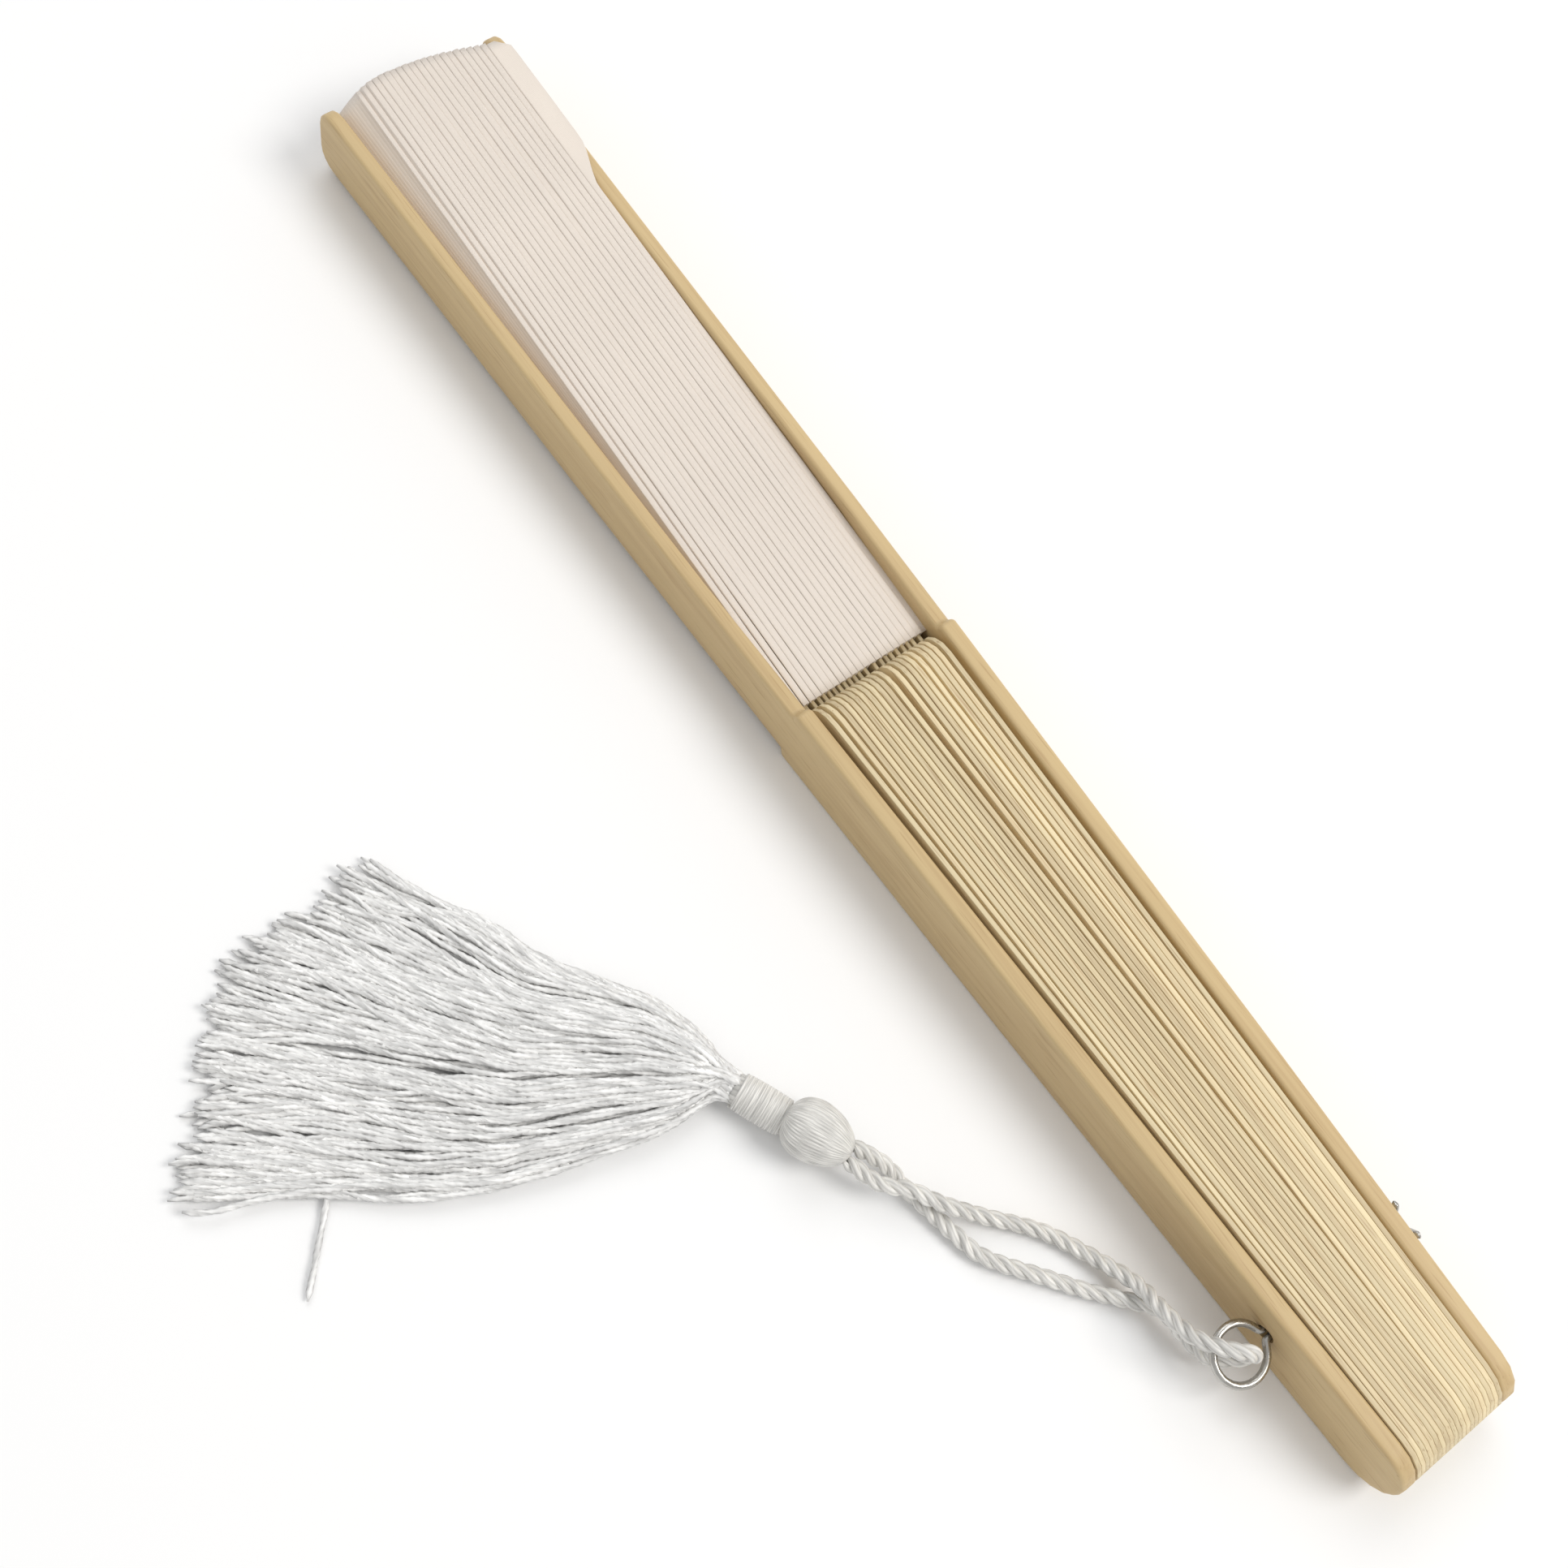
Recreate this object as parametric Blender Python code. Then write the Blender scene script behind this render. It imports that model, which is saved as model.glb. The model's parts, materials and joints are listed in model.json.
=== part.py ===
"""A closed folding fan with a tassel: two guards, a stack of ribs, a pleated cloth leaf
and a split pin whose eye holds the tassel's cord loop.

The fan lies on the lower edges of its sticks. Sizes are in millimetres in the named
values and in metres in the model. X runs along the sticks, with the tip at -X, Y runs
across the stack, with the front guard and the tassel at -Y, and Z is up. Every stick
turns about the pivot, which runs along Y, and its mesh is drawn from there."""

import math

import bmesh
import bpy
from mathutils import Matrix, Vector

MM = 0.001

# Sticks
LENGTH = 230.0  # a guard, from its tip to its pivot end
PIVOT_INSET = 24.0  # from the pivot end to the pivot
RIB_COUNT = 21
GORGE_LENGTH = 120.0  # the bare lower part, from the pivot end to the shoulder
GORGE_HEIGHT = 13.0  # at the shoulder
GORGE_TAPER = 0.8  # how much lower the top edge is at the pivot end
END_RADIUS = 0.43 * GORGE_HEIGHT  # corners of the pivot end
GUARD_THICKNESS = 2.6
GUARD_TIP_THICKNESS = 2.2  # beside the leaf
GUARD_STEP = 1.5  # each edge, at the shoulder
GUARD_TIP_STEP = 0.9  # each edge, at the tip
GUARD_TIP_RADIUS = 3.2
RIB_THICKNESS = 0.68
RIB_STICK_HEIGHT = 4.4  # the slender part inside the leaf
RIB_STICK_THICKNESS = 0.4
RIB_TIP_INSET = 6.0  # how far a rib stops short of the guards' tips

# Stack
END_GAP = 0.03  # between neighbours at the pivot end
SPLAY_GAP_SUM = 7.1  # all gaps together at the shoulder
BOW = 0.86  # how much the stack's widening slows towards the tip
PLAIN_GAP = 1.0  # the gaps' shares of that sum, counted from the front guard
WIDE_GAPS = {0: 4.0, 1: 3.0, 2: 1.8, 11: 2.0, 12: 5.0, 13: 2.4, 16: 1.8, 17: 2.2, 20: 2.8, 21: 5.0}

# Leaf
LEAF_PROUD = 0.3  # past the guards' tips
LEAF_TIP_HEIGHT = 12.9
LEAF_CLEARANCE = 0.09  # between a folded panel pair and the sticks beside it

# Pivot
WIRE = 1.15
WIRE_PLAY = 0.1  # between the pin's two legs
HOLE_PLAY = 0.4  # hole diameter over the two legs
EYE_RADIUS = 3.8  # to the wire's centre
EYE_TILT = -15.0  # degrees, the eye's plane against the table
EYE_STANDOFF = 0.3  # between the front guard and the eye's wire
LEG_LENGTH = 3.2
LEG_SPREAD = 26.0  # degrees, each leg from straight up
LEG_BEND = 1.0
WASHER_DIAMETER = 6.4
WASHER_THICKNESS = 0.5
SEAT_GAP = 0.12

# Tassel: each run's way out of the eye, counted from the eye's middle, and its way on,
# with y counted from the front guard's face and z from the table
CORD = 2.2
CORD_GAP = 0.3
CORD_LIFT = 0.15  # of whatever lies on the table
EYE_A = ((1, 1.03, 0.18), (0.95, 0.98, 1.2), (0.3, 0.13, 2.8), (-1.5, -1.87, 3.4), (-5, -4, 1.9))
EYE_B = ((1, 1.03, -0.18), (0.95, 0.98, -1.2), (0.2, -0.17, -2.7), (-1.6, -2.27, -3.3), (-5, -3.1, -3.3))
FLOOR_A = ((-9.3, -8.5, 6), (-13.9, -8.3, 3.3), (-21, -10.9, 1.4), (-26, -13.7, 1.3),
           (-31.3, -18.4, 1.6), (-35.6, -22.3, 3.3), (-39.2, -24.7, 3.9), (-42.3, -27.5, 3.8))
FLOOR_B = ((-9.3, -7.6, 3.1), (-12.4, -9.6, 1.6), (-16.5, -13.2, 1.3), (-20.8, -16.5, 1.3), (-27.2, -21.3, 1.3),
           (-31.6, -22.7, 1.3), (-36, -23.6, 1.3), (-40.2, -24.4, 1.3), (-43.6, -24.9, 1.9))
KNOT = (-51.3, -30.18)
KNOT_LENGTH = 9.6
KNOT_DIAMETER = 8.6
NECK_LENGTH = 5.6
NECK_DIAMETER = 5.2
TASSEL_HEADING = 204.0  # degrees from +X, of the knot and neck
SKIRT_LENGTH = 62.0
SKIRT_HEADING = 227.0
SKIRT_HEIGHT = 5.2  # where it leaves the neck
SKIRT_END_HEIGHT = 2.4
SKIRT_OUTLINE = ((0.0, -2.3, 2.3), (0.14, -6.0, 4.5), (0.32, -12.5, 8.5), (0.55, -18.0, 12.5),
                 (0.8, -22.5, 17.0), (0.93, -24.0, 19.0), (1.0, -20.0, 15.0))

TIP_X = PIVOT_INSET - LENGTH
SHOULDER_X = PIVOT_INSET - GORGE_LENGTH
AXIS_Z = GORGE_HEIGHT / 2
LEAF_TIP_X = TIP_X - LEAF_PROUD
LEAF_ROOT_X = SHOULDER_X - 1.0
HOLE_DIAMETER = 2 * WIRE + WIRE_PLAY + HOLE_PLAY
STICKS = RIB_COUNT + 2


def splay(x):
    """How far the stack has widened at x: 0 at the pivot end, 1 at the shoulder."""
    along = (PIVOT_INSET - x) / GORGE_LENGTH
    slowing = BOW * GORGE_LENGTH / LENGTH
    return along * (1 - slowing / 2 * along) / (1 - slowing / 2)


def thickness(stick, x):
    """A stick's thickness at x. Both kinds are thinner beyond the shoulder."""
    beyond = min(max((SHOULDER_X + 3.0 - x) / 6.0, 0.0), 1.0)
    if stick in (0, STICKS - 1):
        return GUARD_THICKNESS + (GUARD_TIP_THICKNESS - GUARD_THICKNESS) * beyond
    return RIB_THICKNESS + (RIB_STICK_THICKNESS - RIB_THICKNESS) * beyond


def gap_share(gap):
    """A gap's share of the gaps' sum at the shoulder."""
    shares = [WIDE_GAPS.get(g, PLAIN_GAP) for g in range(STICKS - 1)]
    return shares[gap] / sum(shares)


def stack_middle(stick, gap_of):
    """Where a stick's middle plane lies across the stack, for the given gaps."""
    full = [GUARD_THICKNESS] + [RIB_THICKNESS] * RIB_COUNT + [GUARD_THICKNESS]
    gaps = [gap_of(g) for g in range(STICKS - 1)]
    before = sum(full[:stick]) + sum(gaps[:stick]) + full[stick] / 2
    return before - (sum(full) + sum(gaps)) / 2


def middle(stick, x):
    """The stick's middle plane at x."""
    tight = stack_middle(stick, lambda gap: END_GAP)
    wide = stack_middle(stick, lambda gap: SPLAY_GAP_SUM * gap_share(gap))
    return tight + (wide - tight) * splay(x)


def stick_faces(stick, x):
    """A stick's front and back faces at x. A guard thins on its inner side."""
    centre, full = middle(stick, x), thickness(stick, PIVOT_INSET)
    front, back = centre - full / 2, centre + full / 2
    thin = full - thickness(stick, x)
    if stick == 0:
        return front, back - thin
    if stick == STICKS - 1:
        return front + thin, back
    return front + thin / 2, back - thin / 2


def leaf_faces(gap, x):
    """The front and back of the cloth folded between two sticks."""
    return stick_faces(gap, x)[1] + LEAF_CLEARANCE, stick_faces(gap + 1, x)[0] - LEAF_CLEARANCE


def gorge_edges(x):
    """The lower and upper edge of the bare part at x, from the pivot's height."""
    taper = GORGE_TAPER * (1 - min((PIVOT_INSET - x) / GORGE_LENGTH, 1.0))
    return -AXIS_Z, AXIS_Z - taper


def rounded(x_from, x_to, edges_from, edges_to, steps=4):
    """Stations round a convex corner, from full height at x_from to the end at x_to."""
    found = []
    for step in range(1, steps + 1):
        turn = math.pi / 2 * step / steps
        x = x_from + (x_to - x_from) * math.sin(turn)
        low = edges_to[0] + (edges_from[0] - edges_to[0]) * math.cos(turn)
        high = edges_to[1] + (edges_from[1] - edges_to[1]) * math.cos(turn)
        found.append((x, low, high))
    return found


def gorge_stations(x_to, steps=5):
    """Stations of the bare part, from the pivot end's rounded nose up to x_to."""
    x_from = PIVOT_INSET - END_RADIUS
    low, high = gorge_edges(x_from)
    flat = (low + END_RADIUS, high - END_RADIUS)
    nose = rounded(x_from, PIVOT_INSET, (low, high), flat)[::-1]
    run = [x_from + (x_to - x_from) * step / steps for step in range(steps + 1)]
    return nose + [(x, *gorge_edges(x)) for x in run]


def guard_stations():
    stations = gorge_stations(SHOULDER_X + 0.6)
    low, high = gorge_edges(SHOULDER_X)
    root = (low + GUARD_STEP, high - GUARD_STEP)
    tip = (low + GUARD_TIP_STEP, high - GUARD_TIP_STEP)
    x_to = TIP_X + GUARD_TIP_RADIUS
    stations.append((SHOULDER_X, *root))
    for step in range(1, 6):
        share = step / 5
        x = SHOULDER_X + (x_to - SHOULDER_X) * share
        edges = [a + (b - a) * share for a, b in zip(root, tip)]
        stations.append((x, *edges))
    flat = (tip[0] + GUARD_TIP_RADIUS, tip[1] - GUARD_TIP_RADIUS)
    return stations + rounded(x_to, TIP_X, tip, flat)


def rib_stations():
    half = RIB_STICK_HEIGHT / 2
    drop = GORGE_HEIGHT / 2 - half
    stations = gorge_stations(SHOULDER_X + drop)
    stations += rounded(SHOULDER_X + drop, SHOULDER_X, gorge_edges(SHOULDER_X), (-half, half))
    x_to = TIP_X + RIB_TIP_INSET
    for step in range(1, 6):
        stations.append((SHOULDER_X + (x_to - SHOULDER_X) * step / 5, -half, half))
    return stations


def leaf_stations():
    """The leaf's folds run straight to the pivot, so it is taller towards its tip."""
    stations = []
    for step in range(7):
        x = LEAF_ROOT_X + (LEAF_TIP_X - LEAF_ROOT_X) * step / 6
        half = LEAF_TIP_HEIGHT / 2 * x / LEAF_TIP_X
        stations.append((x, -half, half))
    return stations


def surface(name, colour, roughness, metallic=0.0):
    material = bpy.data.materials.new(name)
    material.use_nodes = True
    shader = material.node_tree.nodes["Principled BSDF"]
    shader.inputs["Base Color"].default_value = (*colour, 1)
    shader.inputs["Roughness"].default_value = roughness
    shader.inputs["Metallic"].default_value = metallic
    return material


def add(name, data, material, parent=None, matrix=None):
    data.materials.append(material)
    made = bpy.data.objects.new(name, data)
    bpy.context.collection.objects.link(made)
    made.parent = parent
    if matrix:
        made.matrix_local = matrix
    return made


def plate(name, stations, faces, material, parent, matrix=None):
    """A plate along X: stations give x and the lower and upper edge, faces the two sides."""
    bm = bmesh.new()
    bmesh.ops.create_grid(bm, x_segments=len(stations) - 1, y_segments=1, size=1)
    corners = sorted(bm.verts, key=lambda v: (-round(v.co.x, 5), v.co.y))
    for index, vert in enumerate(corners):
        x, low, high = stations[index // 2]
        vert.co = Vector((x, faces(x)[0], high if index % 2 else low)) * MM
    made = bmesh.ops.extrude_face_region(bm, geom=bm.faces[:])["geom"]
    for vert in made:
        if isinstance(vert, bmesh.types.BMVert):
            vert.co.y = faces(vert.co.x / MM)[1] * MM
    bmesh.ops.recalc_face_normals(bm, faces=bm.faces)
    mesh = bpy.data.meshes.new(name)
    bm.to_mesh(mesh)
    bm.free()
    return add(name, mesh, material, parent, matrix)


def round_off(mesh, angle=40):
    mesh.shade_smooth()
    mesh.set_sharp_from_angle(angle=math.radians(angle))
    return mesh


def cylinder(name, diameter, depth, sides=24):
    """A round bar on the Y axis."""
    bm = bmesh.new()
    turn = Matrix.Rotation(math.pi / 2, 4, "X")
    bmesh.ops.create_cone(bm, cap_ends=True, segments=sides, radius1=diameter / 2 * MM,
                          radius2=diameter / 2 * MM, depth=depth * MM, matrix=turn)
    mesh = bpy.data.meshes.new(name)
    bm.to_mesh(mesh)
    bm.free()
    return round_off(mesh)


def cut(target, cutter):
    hole = target.modifiers.new("hole", "BOOLEAN")
    hole.operation = "DIFFERENCE"
    hole.solver = "EXACT"
    hole.object = cutter


def tube(name, points, diameter, material, parent):
    """A round wire or cord through the points, with closed ends."""
    curve = bpy.data.curves.new(name, "CURVE")
    curve.dimensions = "3D"
    curve.bevel_depth = diameter / 2 * MM
    curve.bevel_resolution = 2
    curve.use_fill_caps = True
    line = curve.splines.new("POLY")
    line.points.add(len(points) - 1)
    for point, place in zip(line.points, points):
        point.co = (*(Vector(place) * MM), 1)
    return add(name, curve, material, parent)


def smooth_route(route, spacing):
    """Points along a smooth curve through the route's own points."""
    route = [Vector(p) for p in route]
    ends = [2 * route[0] - route[1], *route, 2 * route[-1] - route[-2]]
    found = [route[0]]
    for a, b, c, d in zip(ends, ends[1:], ends[2:], ends[3:]):
        steps = max(round((c - b).length / spacing), 1)
        for step in range(1, steps + 1):
            t = step / steps
            bend = (2 * a - 5 * b + 4 * c - d) * t + (3 * b - a - 3 * c + d) * t * t
            found.append(b + ((c - a) + bend) * t / 2)
    return found


def eye_middle(front):
    """How far in front of the stack's middle the pin's eye has its centre, as a y."""
    return front - EYE_STANDOFF - WIRE / 2 - EYE_RADIUS * math.cos(math.radians(30))


def pin_points(front, back):
    """The split pin's wire: a leg, its way through the stack, the eye, and back again."""
    side = Vector((math.cos(math.radians(EYE_TILT)), 0, math.sin(math.radians(EYE_TILT))))
    apart = (WIRE + WIRE_PLAY) / 2
    neck = front - EYE_STANDOFF - WIRE / 2
    eye_y = eye_middle(front)
    leg_y = back + WASHER_THICKNESS + 2 * SEAT_GAP + WIRE / 2
    half = []
    for sign in (-1, 1):
        lean = math.radians(LEG_SPREAD)
        away = Vector((sign * math.sin(lean), 0, math.cos(lean)))
        start = side * (sign * apart)
        run = []
        for step in range(5):
            turn = math.pi / 2 * step / 4
            bend = away * (1 - math.cos(turn)) + Vector((0, math.sin(turn), 0))
            run.append(start + Vector((0, leg_y - LEG_BEND, 0)) + bend * LEG_BEND)
        run.append(run[-1] + away * LEG_LENGTH)
        run.insert(0, start + Vector((0, front + 0.5, 0)))
        run.insert(0, start + Vector((0, neck + 0.45, 0)))
        half.append(run)
    eye = []
    for step in range(17):
        turn = math.radians(-150 + 300 * step / 16)
        eye.append(side * (EYE_RADIUS * math.sin(turn)) + Vector((0, eye_y - EYE_RADIUS * math.cos(turn), 0)))
    return half[0][::-1] + eye + half[1]


def heading(degrees):
    return Vector((math.cos(math.radians(degrees)), math.sin(math.radians(degrees)), 0))


def main():
    for old in list(bpy.data.objects):
        bpy.data.objects.remove(old)

    rib_wood = surface("rib_wood", (0.70, 0.55, 0.34), 0.55)
    guard_wood = surface("guard_wood", (0.66, 0.50, 0.29), 0.5)
    cloth = surface("cloth", (0.84, 0.80, 0.76), 0.9)
    steel = surface("steel", (0.52, 0.51, 0.48), 0.32, 1.0)
    thread = surface("thread", (0.80, 0.80, 0.81), 0.45)

    front = stick_faces(0, 0)[0]
    back = stick_faces(STICKS - 1, 0)[1]
    eye_reach = -front + EYE_STANDOFF + WIRE + EYE_RADIUS * (1 + math.cos(math.radians(30)))
    pivot = bpy.data.objects.new("pivot", None)
    bpy.context.collection.objects.link(pivot)
    pivot.location = Vector((
        (LENGTH + LEAF_PROUD) / 2 - PIVOT_INSET,
        (eye_reach - stick_faces(STICKS - 1, TIP_X)[1]) / 2,
        AXIS_Z,
    )) * MM

    bore = add("bore", cylinder("bore", HOLE_DIAMETER, 3 * back, 16), steel, pivot)
    bore.hide_render = True
    bore.display_type = "WIRE"

    for stick in range(STICKS):
        is_guard = stick in (0, STICKS - 1)
        name = {0: "front_guard", STICKS - 1: "back_guard"}.get(stick, f"rib_{stick:02d}")
        made = plate(
            name,
            guard_stations() if is_guard else rib_stations(),
            lambda x, stick=stick: stick_faces(stick, x),
            guard_wood if is_guard else rib_wood,
            pivot,
        )
        cut(made, bore)

    for gap in range(STICKS - 1):
        plate(f"leaf_fold_{gap:02d}", leaf_stations(), lambda x, gap=gap: leaf_faces(gap, x), cloth, pivot)

    tube("split_pin", pin_points(front, back), WIRE, steel, pivot)
    place = Matrix.Translation(Vector((0, back + SEAT_GAP + WASHER_THICKNESS / 2, 0)) * MM)
    washer = add("washer", cylinder("washer", WASHER_DIAMETER, WASHER_THICKNESS), steel, pivot, place)
    cut(washer, bore)

    along = heading(TASSEL_HEADING)
    across = heading(TASSEL_HEADING + 90)
    eye = Vector((0, eye_middle(front), 0))
    table = Vector((0, front, -AXIS_Z))
    knot = table + Vector((*KNOT, KNOT_DIAMETER / 2 + CORD_LIFT))
    turn = Matrix.Rotation(math.radians(TASSEL_HEADING - 90), 4, "Z")
    seat = knot - along * (KNOT_LENGTH / 2 + CORD_GAP)
    runs = (("cord_run_a", EYE_A, FLOOR_A, 1), ("cord_run_b", EYE_B, FLOOR_B, -1))
    for name, leaving, lying, sign in runs:
        route = [eye + Vector(p) for p in leaving] + [table + Vector(p) for p in lying]
        end = seat + across * (sign * (CORD + CORD_GAP) / 2)
        tube(name, smooth_route([*route, end], 2 * CORD), CORD, thread, pivot)

    bm = bmesh.new()
    stretch = Matrix.Diagonal((KNOT_DIAMETER, KNOT_LENGTH, KNOT_DIAMETER, 1))
    upright = Matrix.Rotation(math.pi / 2, 4, "X")
    bmesh.ops.create_uvsphere(bm, u_segments=16, v_segments=10, radius=MM / 2, matrix=stretch @ upright)
    ball = bpy.data.meshes.new("tassel_knot")
    bm.to_mesh(ball)
    bm.free()
    add("tassel_knot", round_off(ball, 60), thread, pivot, Matrix.Translation(knot * MM) @ turn)

    neck = knot + along * ((KNOT_LENGTH + NECK_LENGTH) / 2 + CORD_GAP)
    neck.z = NECK_DIAMETER / 2 + CORD_LIFT - AXIS_Z
    add("tassel_neck", cylinder("tassel_neck", NECK_DIAMETER, NECK_LENGTH, 20), thread, pivot,
        Matrix.Translation(neck * MM) @ turn)

    root = neck + along * (NECK_LENGTH / 2 + CORD_GAP + 1.0)
    root.z = CORD_LIFT - AXIS_Z
    lay = Matrix.Rotation(math.radians(SKIRT_HEADING), 4, "Z") @ Matrix.Rotation(-math.pi / 2, 4, "X")
    outline = [(share * SKIRT_LENGTH, low, high) for share, low, high in SKIRT_OUTLINE]
    drop = SKIRT_HEIGHT - SKIRT_END_HEIGHT
    plate("tassel_skirt", outline,
          lambda x: (0.0, -SKIRT_HEIGHT + drop * min(max(x / SKIRT_LENGTH, 0) * 2.5, 1)),
          thread, pivot, Matrix.Translation(root * MM) @ lay)


main()
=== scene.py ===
"""A closed folding fan with a pleated cloth leaf and a cord tassel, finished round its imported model.

The pivot pin runs along Y. The fan lies closed on a table with its tips at -X, and every
stick turns about the pin. All lengths are in metres and every object sits at the origin.
"""

import json
import math
import random

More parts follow.
